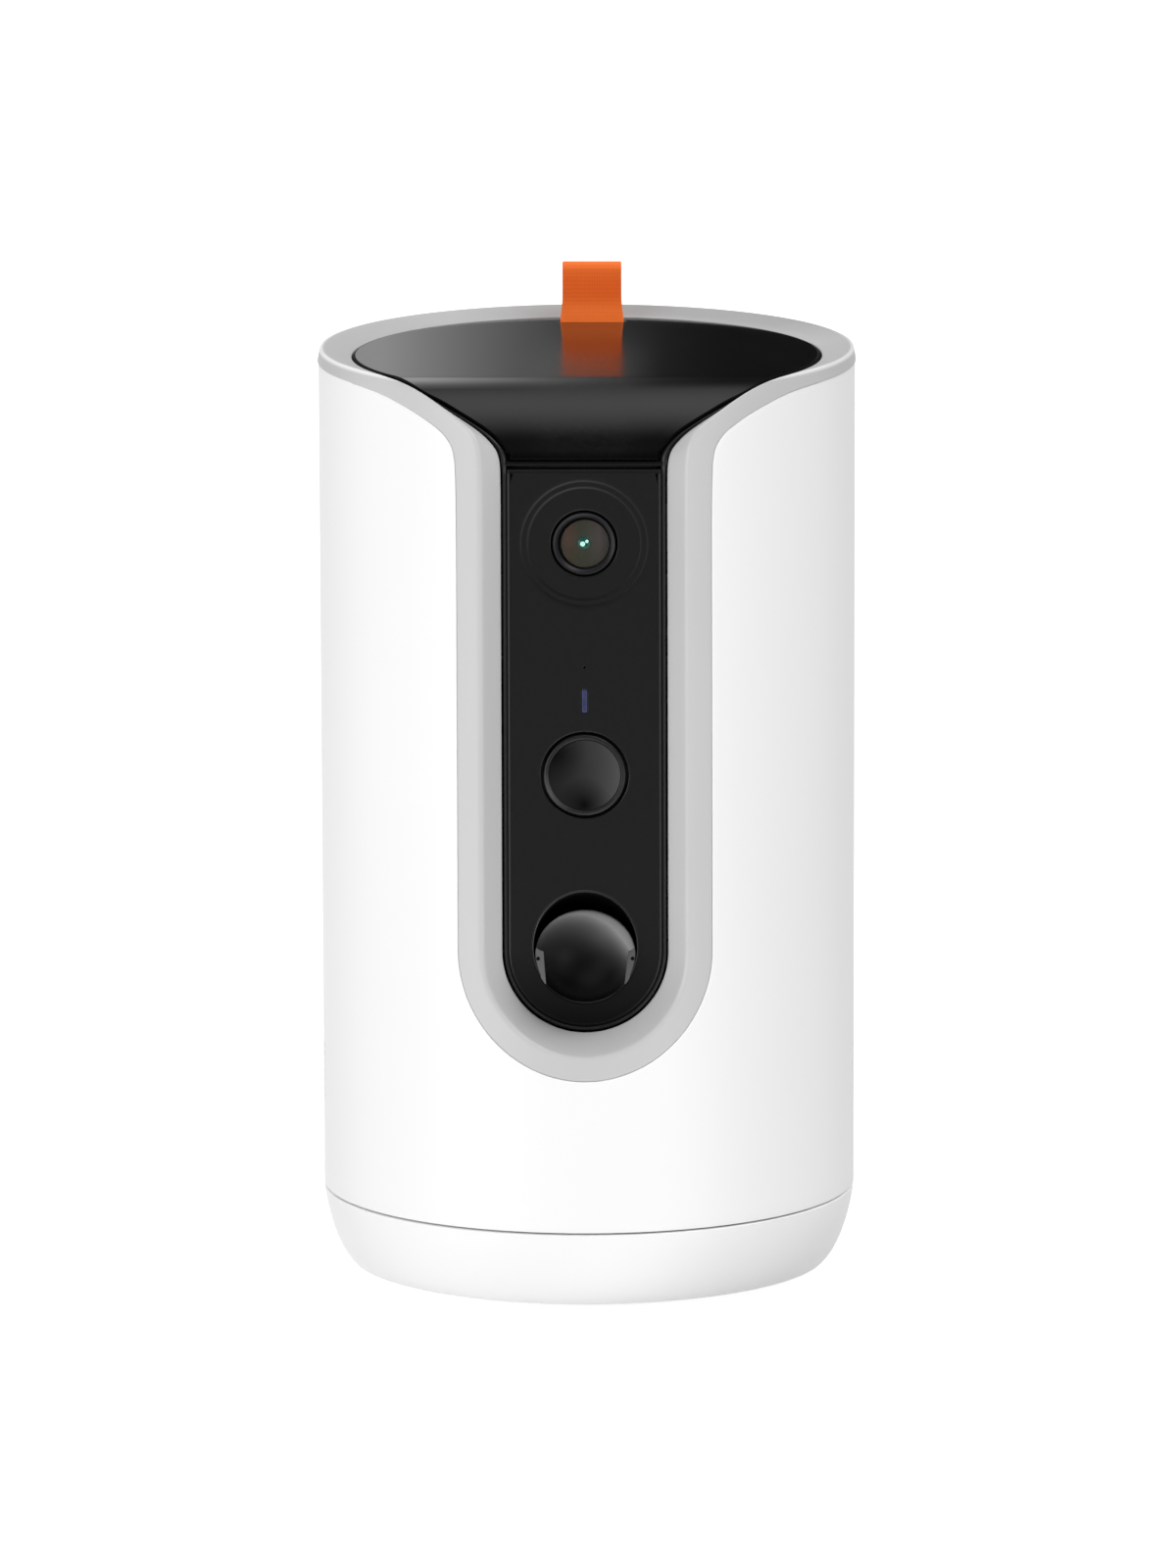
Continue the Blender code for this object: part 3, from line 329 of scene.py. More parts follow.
def strap_material():
    """Orange ribbon: a fine weave of ribs across and threads along, slightly uneven in its dye, with a faint painted
    glow and painted highlights at the fold and the foot that leave it deeper between them.
    """
    mat, nodes, links, shader = shader_tree("strap_orange")
    shader.inputs["Specular IOR Level"].default_value = 0.35
    shader.inputs["Sheen Weight"].default_value = 0.04
    # painted light: the ribbon glows faintly in its own colour
    shader.inputs["Emission Strength"].default_value = 0.22
    shader.inputs["Sheen Roughness"].default_value = 0.4
    coords = nodes.new("ShaderNodeTexCoord")
    waves = []
    for direction, scale, bend in (("Z", 330.0, 0.6), ("X", 520.0, 0.4)):
        wave = nodes.new("ShaderNodeTexWave")
        wave.wave_type, wave.bands_direction, wave.wave_profile = "BANDS", direction, "SIN"
        wave.inputs["Scale"].default_value = scale
        wave.inputs["Distortion"].default_value = bend
        wave.inputs["Detail"].default_value = 1.0
        wave.inputs["Detail Scale"].default_value = 2.0
        links.new(coords.outputs["Object"], wave.inputs["Vector"])
        waves.append(wave.outputs["Fac"])
    weave = nodes.new("ShaderNodeMath")
    weave.operation = "MULTIPLY"
    links.new(waves[0], weave.inputs[0])
    links.new(waves[1], weave.inputs[1])
    tone = two_tone(nodes, links, spread(nodes, links, weave.outputs[0], 0.0, 1.0, (0.0, 0.8)), (0.835, 0.157, 0.0190), (0.895, 0.173, 0.0234))
    dye = nodes.new("ShaderNodeMix")
    dye.data_type = "RGBA"
    dye.blend_type = "MULTIPLY"
    dye.inputs[0].default_value = 1.0
    links.new(tone, dye.inputs[6])
    links.new(
        two_tone(nodes, links, noise(nodes, links, 160.0, 4.0, 0.6, (1, 1, 2.2)), (0.92, 0.90, 0.88), (1.0, 1.0, 1.0)),
        dye.inputs[7],
    )
    split = nodes.new("ShaderNodeSeparateXYZ")
    links.new(coords.outputs["Object"], split.inputs[0])
    # painted highlight: paler over the fold on top and at the foot, which leans forward
    pale = nodes.new("ShaderNodeMath")
    pale.operation = "MAXIMUM"
    links.new(spread(nodes, links, split.outputs["Z"], 0.0, 1.0, (0.2335, 0.2375)), pale.inputs[0])
    links.new(spread(nodes, links, split.outputs["Z"], 0.0, 1.0, (0.2300, 0.2262)), pale.inputs[1])
    fold = nodes.new("ShaderNodeMix")
    fold.data_type = "RGBA"
    fold.blend_type = "MULTIPLY"
    fold.inputs[0].default_value = 1.0
    links.new(dye.outputs[2], fold.inputs[6])
    links.new(two_tone(nodes, links, pale.outputs[0], (0.90, 0.70, 0.44), (1.0, 1.0, 1.0)), fold.inputs[7])
    links.new(fold.outputs[2], shader.inputs["Base Color"])
    links.new(fold.outputs[2], shader.inputs["Emission Color"])
    links.new(spread(nodes, links, weave.outputs[0], 0.62, 0.5, (0.0, 1.0)), shader.inputs["Roughness"])
    bump = nodes.new("ShaderNodeBump")
    bump.inputs["Distance"].default_value = 2.2e-5
    links.new(weave.outputs[0], bump.inputs["Height"])
    links.new(bump.outputs["Normal"], shader.inputs["Normal"])
    return mat


STRAP = strap_material()


def led_material():
    """Blue light guide that glows a little, its tone drifting in a faint cloud."""
    mat, nodes, links, shader = shader_tree("light_pipe")
    shader.inputs["Roughness"].default_value = 0.35
    cloud = noise(nodes, links, 600.0, 2.0)
    tone = two_tone(nodes, links, spread(nodes, links, cloud, 0.0, 1.0), (0.018, 0.020, 0.062), (0.025, 0.028, 0.083))
    links.new(tone, shader.inputs["Base Color"])
    links.new(tone, shader.inputs["Emission Color"])
    shader.inputs["Emission Strength"].default_value = 0.30
    return mat


LED = led_material()


def lens_inner_material():
    """Coated glass element: brownish grey, with painted coating reflections: a green cast below and a faint red one to
    the left and right.
    """
    mat, nodes, links, shader = shader_tree("lens_coating")
    shader.inputs["Specular IOR Level"].default_value = 0.3
    coords = nodes.new("ShaderNodeTexCoord")
    split = nodes.new("ShaderNodeSeparateXYZ")
    links.new(coords.outputs["Object"], split.inputs[0])
    # painted reflections: faint red casts at the left and the right, and a darker green cast below
    side = spread(nodes, links, split.outputs["X"], 0.0, 1.0, (-0.0058, 0.0052))
    ramp = nodes.new("ShaderNodeValToRGB")
    stops = ((0.0, (0.080, 0.080, 0.068)), (0.2, (0.125, 0.080, 0.070)), (0.42, (0.076, 0.082, 0.067)),
             (0.62, (0.090, 0.094, 0.083)), (0.86, (0.125, 0.108, 0.114)), (1.0, (0.082, 0.079, 0.082)))
    for k, (at, tone) in enumerate(stops):
        stop = ramp.color_ramp.elements[k] if k < 2 else ramp.color_ramp.elements.new(at)
        stop.position = at
        stop.color = (*tone, 1.0)
    links.new(side, ramp.inputs["Fac"])
    mix = nodes.new("ShaderNodeMix")
    mix.data_type = "RGBA"
    up = spread(nodes, links, split.outputs["Z"], 0.75, 0.0, (0.1822, 0.1876))
    links.new(up, mix.inputs[0])
    links.new(ramp.outputs["Color"], mix.inputs[6])
    mix.inputs[7].default_value = (0.060, 0.065, 0.048, 1.0)
    links.new(mix.outputs[2], shader.inputs["Base Color"])
    links.new(spread(nodes, links, noise(nodes, links, 90.0), 0.26, 0.32), shader.inputs["Roughness"])
    return mat


# Glowing material: painted light, for the teal glow of the lens's iris and for its two glints
def glint_material(name, colour, glow):
    mat, nodes, links, shader = shader_tree(name)
    shader.inputs["Roughness"].default_value = 0.15
    tone = two_tone(nodes, links, spread(nodes, links, noise(nodes, links, 2500.0), 0.0, 1.0),
                    tuple(c * 0.85 for c in colour), colour)
    links.new(tone, shader.inputs["Base Color"])
    links.new(tone, shader.inputs["Emission Color"])
    shader.inputs["Emission Strength"].default_value = glow
    return mat


def clear_material():
    """Thin coated front glass: what lies behind shows through, and its surface shines by its angle."""
    mat, nodes, links, shader = shader_tree("front_glass")
    shader.inputs["Base Color"].default_value = (0.02, 0.02, 0.022, 1.0)
    shader.inputs["Roughness"].default_value = 0.04
    fine = noise(nodes, links, 1500.0)
    bump = nodes.new("ShaderNodeBump")
    bump.inputs["Distance"].default_value = 1e-7
    links.new(fine, bump.inputs["Height"])
    links.new(bump.outputs["Normal"], shader.inputs["Normal"])
    clear = nodes.new("ShaderNodeBsdfTransparent")
    clear.inputs["Color"].default_value = (0.93, 0.92, 0.90, 1.0)
    rim = nodes.new("ShaderNodeFresnel")
    rim.inputs["IOR"].default_value = 1.5
    mix = nodes.new("ShaderNodeMixShader")
    links.new(spread(nodes, links, rim.outputs["Fac"], 0.0, 0.5, (0.03, 1.0)), mix.inputs[0])
    links.new(clear.outputs[0], mix.inputs[1])
    links.new(shader.outputs[0], mix.inputs[2])
    links.new(mix.outputs[0], nodes["Material Output"].inputs["Surface"])
    return mat


# ---------------------------------------------------------------- mesh helpers
def piece(name, verts, faces, mat, body, replaces=(), slot=None, angle=34.0, recalc=True):
    """One object from points in millimetres, in the model's own frame, riding on a body."""
    mesh = bpy.data.meshes.new(name)
    mesh.from_pydata([tuple(float(c) * MM for c in v) for v in verts], [], faces)
    if recalc:
        bm = bmesh.new()
        bm.from_mesh(mesh)
        bmesh.ops.recalc_face_normals(bm, faces=bm.faces[:])
        bm.to_mesh(mesh)
        bm.free()
    mesh.shade_smooth()
    mesh.set_sharp_from_angle(angle=math.radians(angle))
    mesh.materials.append(mat)
    obj = bpy.data.objects.new(name, mesh)
    scene.collection.objects.link(obj)
    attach(obj, body)
    if replaces:
        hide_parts(*replaces)
    return obj


def rounded(points, radii, steps=4, closed=True):
    """Corners of a polyline, in 2D or 3D, turned into small curves."""
    pts = [np.array(p, float) for p in points]
    n, out = len(pts), []
    for i, p in enumerate(pts):
        r = radii[i] if hasattr(radii, "__len__") else radii
        if r <= 0 or (not closed and i in (0, n - 1)):
            out.append(p)
            continue
        a, b = pts[i - 1] - p, pts[(i + 1) % n] - p
        la, lb = np.linalg.norm(a), np.linalg.norm(b)
        d = min(r, 0.45 * la, 0.45 * lb)
        one, two = p + a / la * d, p + b / lb * d
        for k in range(steps + 1):
            t = k / steps
            out.append((1 - t) ** 2 * one + 2 * t * (1 - t) * p + t * t * two)
    return out


def turned(profile, seg, centre=(0, 0, 0), axis=(0, 0, 1), start=0.0):
    """Points and faces of a turned body from a closed (r, h) outline."""
    turn = Vector((0, 0, 1)).rotation_difference(Vector(axis).normalized()).to_matrix()
    turn, centre = np.array(turn), np.array(centre, float)
    verts, rows = [], []
    for r, h in profile:
        if r < 1e-6:
            rows.append([len(verts)] * seg)
            verts.append(centre + turn @ np.array((0, 0, h)))
            continue
        rows.append(list(range(len(verts), len(verts) + seg)))
        for i in range(seg):
            a = start + 2 * math.pi * i / seg
            verts.append(centre + turn @ np.array((r * math.cos(a), r * math.sin(a), h)))
    faces = []
    for j in range(len(rows)):
        one, two = rows[j], rows[(j + 1) % len(rows)]
        for i in range(seg):
            k = (i + 1) % seg
            loop = []
            for index in (one[i], one[k], two[k], two[i]):
                if index not in loop:
                    loop.append(index)
            if len(loop) > 2:
                faces.append(loop)
    return verts, faces


def lathe(name, profile, mat, body, seg=128, centre=(0, 0, 0), axis=(0, 0, 1), **more):
    verts, faces = turned(profile, seg, centre, axis)
    return piece(name, verts, faces, mat, body, **more)


def ring_faces(a, b, n, closed=True):
    """Quads between two rows of n points that start at index a and b."""
    last = n if closed else n - 1
    return [[a + i, a + (i + 1) % n, b + (i + 1) % n, b + i] for i in range(last)]


def arc(radius, count, fr, to, cx=0.0, cy=0.0):
    t = np.linspace(fr, to, count)
    return np.stack([cx + radius * np.cos(t), cy + radius * np.sin(t)], 1)


def round_loop(radius, count, cx=0.0, cy=0.0):
    return arc(radius, count + 1, 0, 2 * math.pi, cx, cy)[:-1]


def fillet_rows(radius, thick, steps=5, back=0.0):
    """(offset into the material, depth) from the face round the edge and down the wall."""
    rows = [(radius + 0.12, 0.0)]
    rows += [(radius * (1 - math.sin(a)), radius * (1 - math.cos(a))) for a in np.linspace(0, math.pi / 2, steps + 1)]
    if back > 0:
        rows += [(back * (1 - math.cos(a)), thick - back + back * math.sin(a)) for a in np.linspace(0, math.pi / 2, 4)]
    else:
        rows.append((0.0, thick))
    return rows


def inside(points, loop):
    """Even-odd test of many points against one closed loop."""
    x, y = points[:, 0], points[:, 1]
    hit = np.zeros(len(points), bool)
    for a, b in zip(loop, np.roll(loop, -1, axis=0)):
        if a[1] == b[1]:
            continue
        cross = (a[1] > y) != (b[1] > y)
        hit ^= cross & (x < (b[0] - a[0]) * (y - a[1]) / (b[1] - a[1]) + a[0])
    return hit


def plate(loops, place, spacing):
    """A plate with rounded edges. loops: (points, rows, hole) in the plate's plane, rows as in fillet_rows.
    place(points, depth, loop number or None) puts them in space. Returns points and faces."""
    verts, faces, firsts, lasts = [], [], [], []
    for number, (pts, rows, hole) in enumerate(loops):
        pts = np.array(pts, float)
        area = 0.5 * np.sum(pts[:, 0] * np.roll(pts[:, 1], -1) - np.roll(pts[:, 0], -1) * pts[:, 1])
        if (area < 0) != bool(hole):
            pts = pts[::-1]
        tangent = np.roll(pts, -1, axis=0) - np.roll(pts, 1, axis=0)
        normal = np.stack([tangent[:, 1], -tangent[:, 0]], 1)
        normal /= np.linalg.norm(normal, axis=1)[:, None]
        starts = []
        for offset, depth in rows:
            starts.append(len(verts))
            ring = pts - normal * offset
            verts.extend(place(ring, depth, number))
            if len(starts) == 1:
                firsts.append((ring, starts[0]))
        for a, b in zip(starts, starts[1:]):
            faces += ring_faces(a, b, len(pts))
        lasts.append((pts - normal * rows[-1][0], starts[-1], rows[-1][1]))
    for which in (firsts, lasts):
        rings = [w[0] for w in which]
        flat = np.concatenate(rings)
        index = np.concatenate([np.arange(w[1], w[1] + len(w[0])) for w in which])
        edges, at = [], 0
        for ring in rings:
            n = len(ring)
            edges += [(at + i, at + (i + 1) % n) for i in range(n)]
            at += n
        low, high = rings[0].min(0), rings[0].max(0)
        gx = np.arange(low[0] + spacing * 0.37, high[0], spacing)
        gy = np.arange(low[1] + spacing * 0.41, high[1], spacing)
        grid = np.array(np.meshgrid(gx, gy)).reshape(2, -1).T
        keep = inside(grid, rings[0])
        for ring in rings[1:]:
            keep &= ~inside(grid, ring)
        grid = grid[keep]
        if len(grid):
            near = np.min(np.linalg.norm(grid[:, None, :] - flat[None, :, :], axis=2), axis=1)
            grid = grid[near > 0.45 * spacing]
        depth = 0.0 if which is firsts else which[0][2]
        extra = len(verts)
        if len(grid):
            verts.extend(place(grid, depth, None))
        index = np.concatenate([index, np.arange(extra, extra + len(grid))])
        every = np.concatenate([flat, grid]) if len(grid) else flat
        out = delaunay_2d_cdt([Vector((float(x), float(y))) for x, y in every], edges, [], 0, 1e-7)
        known = [o[0] if o else None for o in out[3]]
        place_of = np.array([[p.x, p.y] for p in out[0]])
        tris = np.array([f for f in out[2] if len(f) == 3])
        mid = place_of[tris].mean(1)
        good = inside(mid, rings[0])
        for ring in rings[1:]:
            good &= ~inside(mid, ring)
        for tri in tris[good]:
            if any(known[k] is None for k in tri):
                continue
            faces.append([int(index[known[k]]) for k in tri])
    return verts, faces


# ---------------------------------------------------------------- the tower's shared curves (mm)
RIM_R, RIM_TOP, SHELL_TOP, SHELL_LOW, SHELL_IN = 64.93, 225.5, 221.98, 20.45, 62.3
U_Z, U_SHELL, U_CREST, U_PANEL, U_DROP = 88.0, 30.4, 24.7, 19.5, 0.5
FACE_Y, PANEL_Y, GAP, SEAM = -54.8, -54.5, 0.3, 0.1
LENS_Z, LED_Z, MIC_Z, BUTTON_Z = 186.5, 148.3, 156.5, 130.35
TUBE_Z, TUBE_R, TUBE_TILT = 88.4, 12.5, math.radians(25)
LID_TOP, LID_R, LID_THICK = 223.5, 56.4, 2.4
NOSE_Y0, NOSE_END_Y, NOSE_LOW = -34.0, -54.9, 206.75
BAR_LOW, BAR_TOP, PANEL_TOP = 205.25, 206.35, 204.6

FUNNEL = (
    (28.2, 203.0, 22.5, 203.0, 19.5, -54.8, 202.6, 0.0),
    (28.35, 206.6, 22.6, 206.6, 19.65, -54.8, 205.8, 0.0),
    (29.0, 210.1, 22.8, 209.9, 20.4, -54.7, 208.8, 0.05),
    (30.9, 213.0, 23.6, 212.9, 22.3, -54.3, 211.2, 0.12),
    (33.8, 215.2, 25.6, 215.5, 25.0, -53.3, 213.5, 0.25),
    (39.0, 217.9, 30.3, 218.9, 30.0, -51.2, 216.5, 0.45),
    (46.3, 220.4, 37.6, 222.95, 36.5, -47.0, 219.8, 0.7),
    (53.0, 221.5, 45.7, 225.1, 41.5, -42.3, 221.9, 0.85),
    (60.5, 221.9, 57.5, 225.5, 47.2, -31.4, 223.1, 1.0),
)


def shell_radius(z):
    return 64.3 + 0.4 * (z - 20) / 202


def spline(stations, steps):
    pts = np.array(stations, float)
    out = []
    for i in range(len(pts) - 1):
        p1, p2 = pts[i], pts[i + 1]
        p0 = pts[i - 1] if i else 2 * p1 - p2
        p3 = pts[i + 2] if i + 2 < len(pts) else 2 * p2 - p1
        for k in range(steps):
            t = k / steps
            out.append(
                0.5 * (2 * p1 + (p2 - p0) * t + (2 * p0 - 5 * p1 + 4 * p2 - p3) * t**2 + (3 * p1 - p0 - 3 * p2 + p3) * t**3)
            )
    out.append(pts[-1])
    return out


def at_angle(deg, z, r):
    return np.array([r * math.sin(math.radians(deg)), -r * math.cos(math.radians(deg)), z])


U_STEPS, SIDE_STEPS, FUNNEL_STEPS, RIM_STEPS = 44, 40, 9, 110


def right_path():
    """Rows of edge angle and height, crest angle and height, inner point, rim share: bottom of the U to the back of the rim."""
    rows = []
    lean = lambda x, z: math.degrees(math.asin(x / shell_radius(z)))
    for i in range(U_STEPS):
        a = math.pi / 2 * i / U_STEPS
        s, c = math.sin(a), math.cos(a)
        ze, zc = U_Z - U_SHELL * c, U_Z - U_CREST * c
        rows.append((lean(U_SHELL * s, ze), ze, lean(U_CREST * s, zc), zc, U_PANEL * s, FACE_Y, U_Z - U_DROP - U_PANEL * c, 0.0))
    for i in range(SIDE_STEPS):
        z = U_Z + (203.0 - U_Z) * i / SIDE_STEPS
        low = z - U_DROP * (1 - i / SIDE_STEPS)
        rows.append((lean(U_SHELL, z), z, lean(U_CREST, z), z, U_PANEL, FACE_Y, low, 0.0))
    rows += [tuple(r) for r in spline(FUNNEL, FUNNEL_STEPS)]
    for i in range(1, RIM_STEPS + 1):
        t = i / RIM_STEPS
        k = min(1.0, 4 * t)
        n = math.radians(56.4 + (180 - 56.4) * t)
        rows.append((
            60.5 + 119.5 * t, 221.9 + 0.3 * k, 57.5 + 122.5 * t, RIM_TOP,
            56.7 * math.sin(n), -56.7 * math.cos(n), 223.1 + 0.1 * k, 1.0,
        ))
    rows = np.array(rows)
    first, last = U_STEPS + SIDE_STEPS - 6, U_STEPS + SIDE_STEPS + 8 * FUNNEL_STEPS + 14
    for _ in range(10):
        mean = rows.copy()
        mean[1:-1] = 0.25 * rows[:-2] + 0.5 * rows[1:-1] + 0.25 * rows[2:]
        rows[first:last] = mean[first:last]
    return rows


PATH = right_path()
PATH[:, 7] = np.clip(PATH[:, 7], 0.0, 1.0)
RIM_START = U_STEPS + SIDE_STEPS + 8 * FUNNEL_STEPS  # index where the level rim begins


def edge_point(row, grow=0.0):
    w = row[7]
    return at_angle(row[0], row[1], shell_radius(row[1]) * (1 - w) + RIM_R * w)


def collar_section(row, side):
    """The collar's cross section as a closed loop of rounded corners."""
    e_deg, e_z, c_deg, c_z, x, y, z, w = row
    re = shell_radius(e_z) * (1 - w) + RIM_R * w
    rc = shell_radius(c_z) * (1 - w) + (RIM_R - 0.6) * w
    edge, crest, inner = at_angle(e_deg, e_z, re), at_angle(c_deg, c_z, rc), np.array([x, y, z])
    radial = lambda p, r: np.array([p[0], p[1], 0]) / math.hypot(p[0], p[1]) * r + np.array([0, 0, p[2]])
    band = []
    for t in (0.3, 0.6):
        band.append(at_angle(e_deg + (c_deg - e_deg) * t, e_z + (c_z - e_z) * t, re + (rc - re) * t))
    slope = [crest + (inner - crest) * t for t in (0.5,)]
    behind_inner = inner + (1 - w) * (side * 1.5 + np.array([0, 1.9, 0])) + w * np.array([0, 0, -2.6])
    flat = np.array([crest[0], crest[1], min(crest[2] * (1 - w) + 220.6 * w, inner[2] - 0.3 * w, crest[2])])
    behind_crest = radial(flat, 61.6 * (1 - w) + 62.0 * w)
    behind_edge = radial(edge - side * 0.4 * (1 - w), 61.9)
    points = [edge, *band, crest, *slope, inner, behind_inner, behind_crest, behind_edge]
    radii = [0.16, 1.2, 0.8, 1.15 * (1 - w) + 0.7 * w, 1.3, 1.25 * (1 - w) + 0.35 * w, 0.0, 0.0, 0.0]
    return rounded(points, radii, 5)


def side_of(k):
    """Outward direction of the inner border in the front plane, fading into straight down at the rim."""
    w = PATH[k, 7]
    if k < U_STEPS:
        a = math.pi / 2 * k / U_STEPS
        return np.array([math.sin(a), 0, -math.cos(a)])
    side = np.array([1.0 - w, 0, -w * 0.2 - 1e-6])
    return side / np.linalg.norm(side)


def mirrored(rows):
    return [np.array([-p[0], p[1], p[2]]) for p in rows]


def make_collar():
    right = [collar_section(PATH[k], side_of(k)) for k in range(len(PATH))]
    loops = right + [mirrored(s) for s in right[-2:0:-1]]
    width, count = len(loops[0]), len(loops)
    verts = [p for loop in loops for p in loop]
    faces = []
    for i in range(count):
        j = (i + 1) % count
        for k in range(width):
            m = (k + 1) % width
            faces.append([i * width + k, i * width + m, j * width + m, j * width + k])
    return piece("collar", verts, faces, GREY, HOUSING, replaces=("rim_collar",), slot="grey_plastic")


# ---------------------------------------------------------------- white shell with its perforated band
HOLE_PITCH, HOLE_R, BAND_LOW, BAND_ROWS = 2.1, 0.56, 41.65, 7
SIDE_DEG = 74.0


def make_shell():
    """Sheets over (angle, height): a fan round the front opening, then a level grid with the speaker perforations."""
    f = 0.16                                     # edge rounding
    grow = SEAM                                  # clearance to the collar
    half = HOLE_PITCH / 2
    column = HOLE_PITCH * math.cos(math.radians(30))
    columns = round((360 - 2 * SIDE_DEG) / math.degrees(column / 64.35))
    columns += columns % 2 == 0                  # an odd count puts one column on the back's centre line
    step = (360 - 2 * SIDE_DEG) / columns
    # height levels of the level grid
    low_z, top_z = SHELL_LOW + f, SHELL_TOP - f
    below = list(np.linspace(low_z, BAND_LOW, 6)[:-1])
    band = [BAND_LOW + half * i for i in range(2 * BAND_ROWS + 1)]
    above = list(np.linspace(band[-1], top_z, 30)[1:])
    levels = below + band + above
    first_band = len(below)
    index, points, faces, holes = {}, [], [], []

    def vertex(deg, z):
        deg = (deg + 180.0) % 360.0 - 180.0
        if deg < -179.9999:
            deg += 360.0
        key = (round(deg, 4), round(z, 4))
        if key not in index:
            index[key] = len(points)
            points.append((deg, z))
        return index[key]

    # level grid round the back
    degs = [SIDE_DEG + step * i / 2 for i in range(2 * columns + 1)]
    hole_first, hole_last = 5, columns - 6       # plain columns at each end of the band
    for j in range(len(levels) - 1):
        in_band = first_band <= j < first_band + 2 * BAND_ROWS
        for c in range(columns):
            cell = in_band and hole_first <= c <= hole_last
            if cell:
                continue
            for i in (2 * c, 2 * c + 1):
                faces.append([vertex(degs[i], levels[j]), vertex(degs[i + 1], levels[j]),
                              vertex(degs[i + 1], levels[j + 1]), vertex(degs[i], levels[j + 1])])
    per_mm = math.degrees(1 / 64.35)
    for c in range(hole_first, hole_last + 1):
        a, m, b = degs[2 * c], degs[2 * c + 1], degs[2 * c + 2]
        shift = (c - (columns // 2)) % 2
        cells = []
        if shift:
            for z0 in (BAND_LOW, band[-1] - half):
                for one, two in ((a, m), (m, b)):
                    faces.append([vertex(one, z0), vertex(two, z0), vertex(two, z0 + half), vertex(one, z0 + half)])
            cells = [BAND_LOW + half + HOLE_PITCH * i for i in range(BAND_ROWS - 1)]
        else:
            cells = [BAND_LOW + HOLE_PITCH * i for i in range(BAND_ROWS)]
        for z0 in cells:
            zm, z1 = z0 + half, z0 + 2 * half
            border = [vertex(b, zm), vertex(b, z1), vertex(m, z1), vertex(a, z1),
                      vertex(a, zm), vertex(a, z0), vertex(m, z0), vertex(b, z0)]
            ring = []
            for k in range(16):
                t = 2 * math.pi * k / 16
                ring.append(vertex(m + HOLE_R * per_mm * math.cos(t), zm + HOLE_R * math.sin(t)))
            for k in range(8):
                p, q = border[k], border[(k + 1) % 8]
                r0, r1, r2 = ring[2 * k], ring[2 * k + 1], ring[(2 * k + 2) % 16]
                faces += [[p, r1, r0], [p, q, r1], [q, r2, r1]]
            holes.append(ring)

    # fan round the front opening: from the opening's edge to the bottom and to the level grid
    edge = [(PATH[k, 0], PATH[k, 1]) for k in range(RIM_START + 1)]
    edge = np.array(edge)
    flat = np.stack([np.radians(edge[:, 0]) * 64.5, edge[:, 1]], 1)
    tangent = np.gradient(flat, axis=0)
    normal = np.stack([tangent[:, 1], -tangent[:, 0]], 1)
    normal /= np.linalg.norm(normal, axis=1)[:, None]
    normal[0] = (0.0, -1.0)
    normal[-1] = (normal[-1] + np.array([0, -1.0])) / np.linalg.norm(normal[-1] + np.array([0, -1.0]))
    inset = flat + normal * (grow + f)
    inset[:, 1] = np.minimum(inset[:, 1], top_z)
    inset[-1, 1] = top_z
    true_edge = flat + normal * grow
    true_edge[-1, 1] = SHELL_TOP
    true_edge[:, 1] = np.minimum(true_edge[:, 1], SHELL_TOP)
    # thin the samples a little on the straight sides
    picks = list(range(0, U_STEPS)) + list(range(U_STEPS, U_STEPS + SIDE_STEPS, 2)) + list(range(U_STEPS + SIDE_STEPS, RIM_START + 1))
    inner_line = [(math.degrees(inset[k, 0] / 64.5), inset[k, 1]) for k in picks]
    inner_line[0] = (0.0, inner_line[0][1])
    n_bottom = sum(1 for k in picks if k < U_STEPS)
    n_side = len(picks) - n_bottom
    # the outer border: along the bottom, then up the level grid's own heights
    outer = [(SIDE_DEG * (i / n_bottom), low_z) for i in range(n_bottom)]
    up = levels
    marks = np.interp(np.linspace(0, 1, n_side) ** 0.9, np.linspace(0, 1, len(up)), np.arange(len(up)))
    marks = np.maximum.accumulate(np.round(marks).astype(int))
    missing = sorted(set(range(len(up))) - set(marks.tolist()))
    for miss in missing:                         # every level has to be met by the fan
        k = int(np.argmax(marks > miss))
        while k > 0 and list(marks).count(marks[k - 1]) < 2 and k > 1:
            k -= 1
            marks[k] = marks[k]
        marks[max(k - 1, 0)] = miss
    marks = np.sort(marks)
    outer += [(SIDE_DEG, up[m]) for m in marks]
    rows = 26
    share = [(t / rows) ** 1.25 for t in range(rows + 1)]
    for side in (1, -1):
        columns_of = []
        for (d0, z0), (d1, z1) in zip(inner_line, outer):
            columns_of.append([vertex(side * (d0 + (d1 - d0) * s), z0 + (z1 - z0) * s) for s in share])
        for one, two in zip(columns_of, columns_of[1:]):
            for k in range(rows):
                loop = []
                for v in (one[k], one[k + 1], two[k + 1], two[k]):
                    if v not in loop:
                        loop.append(v)
                if len(loop) > 2:
                    faces.append(loop if side > 0 else loop[::-1])

    def lay(deg, z, r):
        return at_angle(deg, z, r)

    count = len(points)
    verts = [lay(d, z, shell_radius(z)) for d, z in points] + [lay(d, z, SHELL_IN) for d, z in points]
    sheet = list(faces)
    faces = [list(fc) for fc in sheet] + [[count + v for v in fc[::-1]] for fc in sheet]
    for ring in holes:
        n = len(ring)
        faces += [[ring[i], ring[(i + 1) % n], count + ring[(i + 1) % n], count + ring[i]] for i in range(n)]
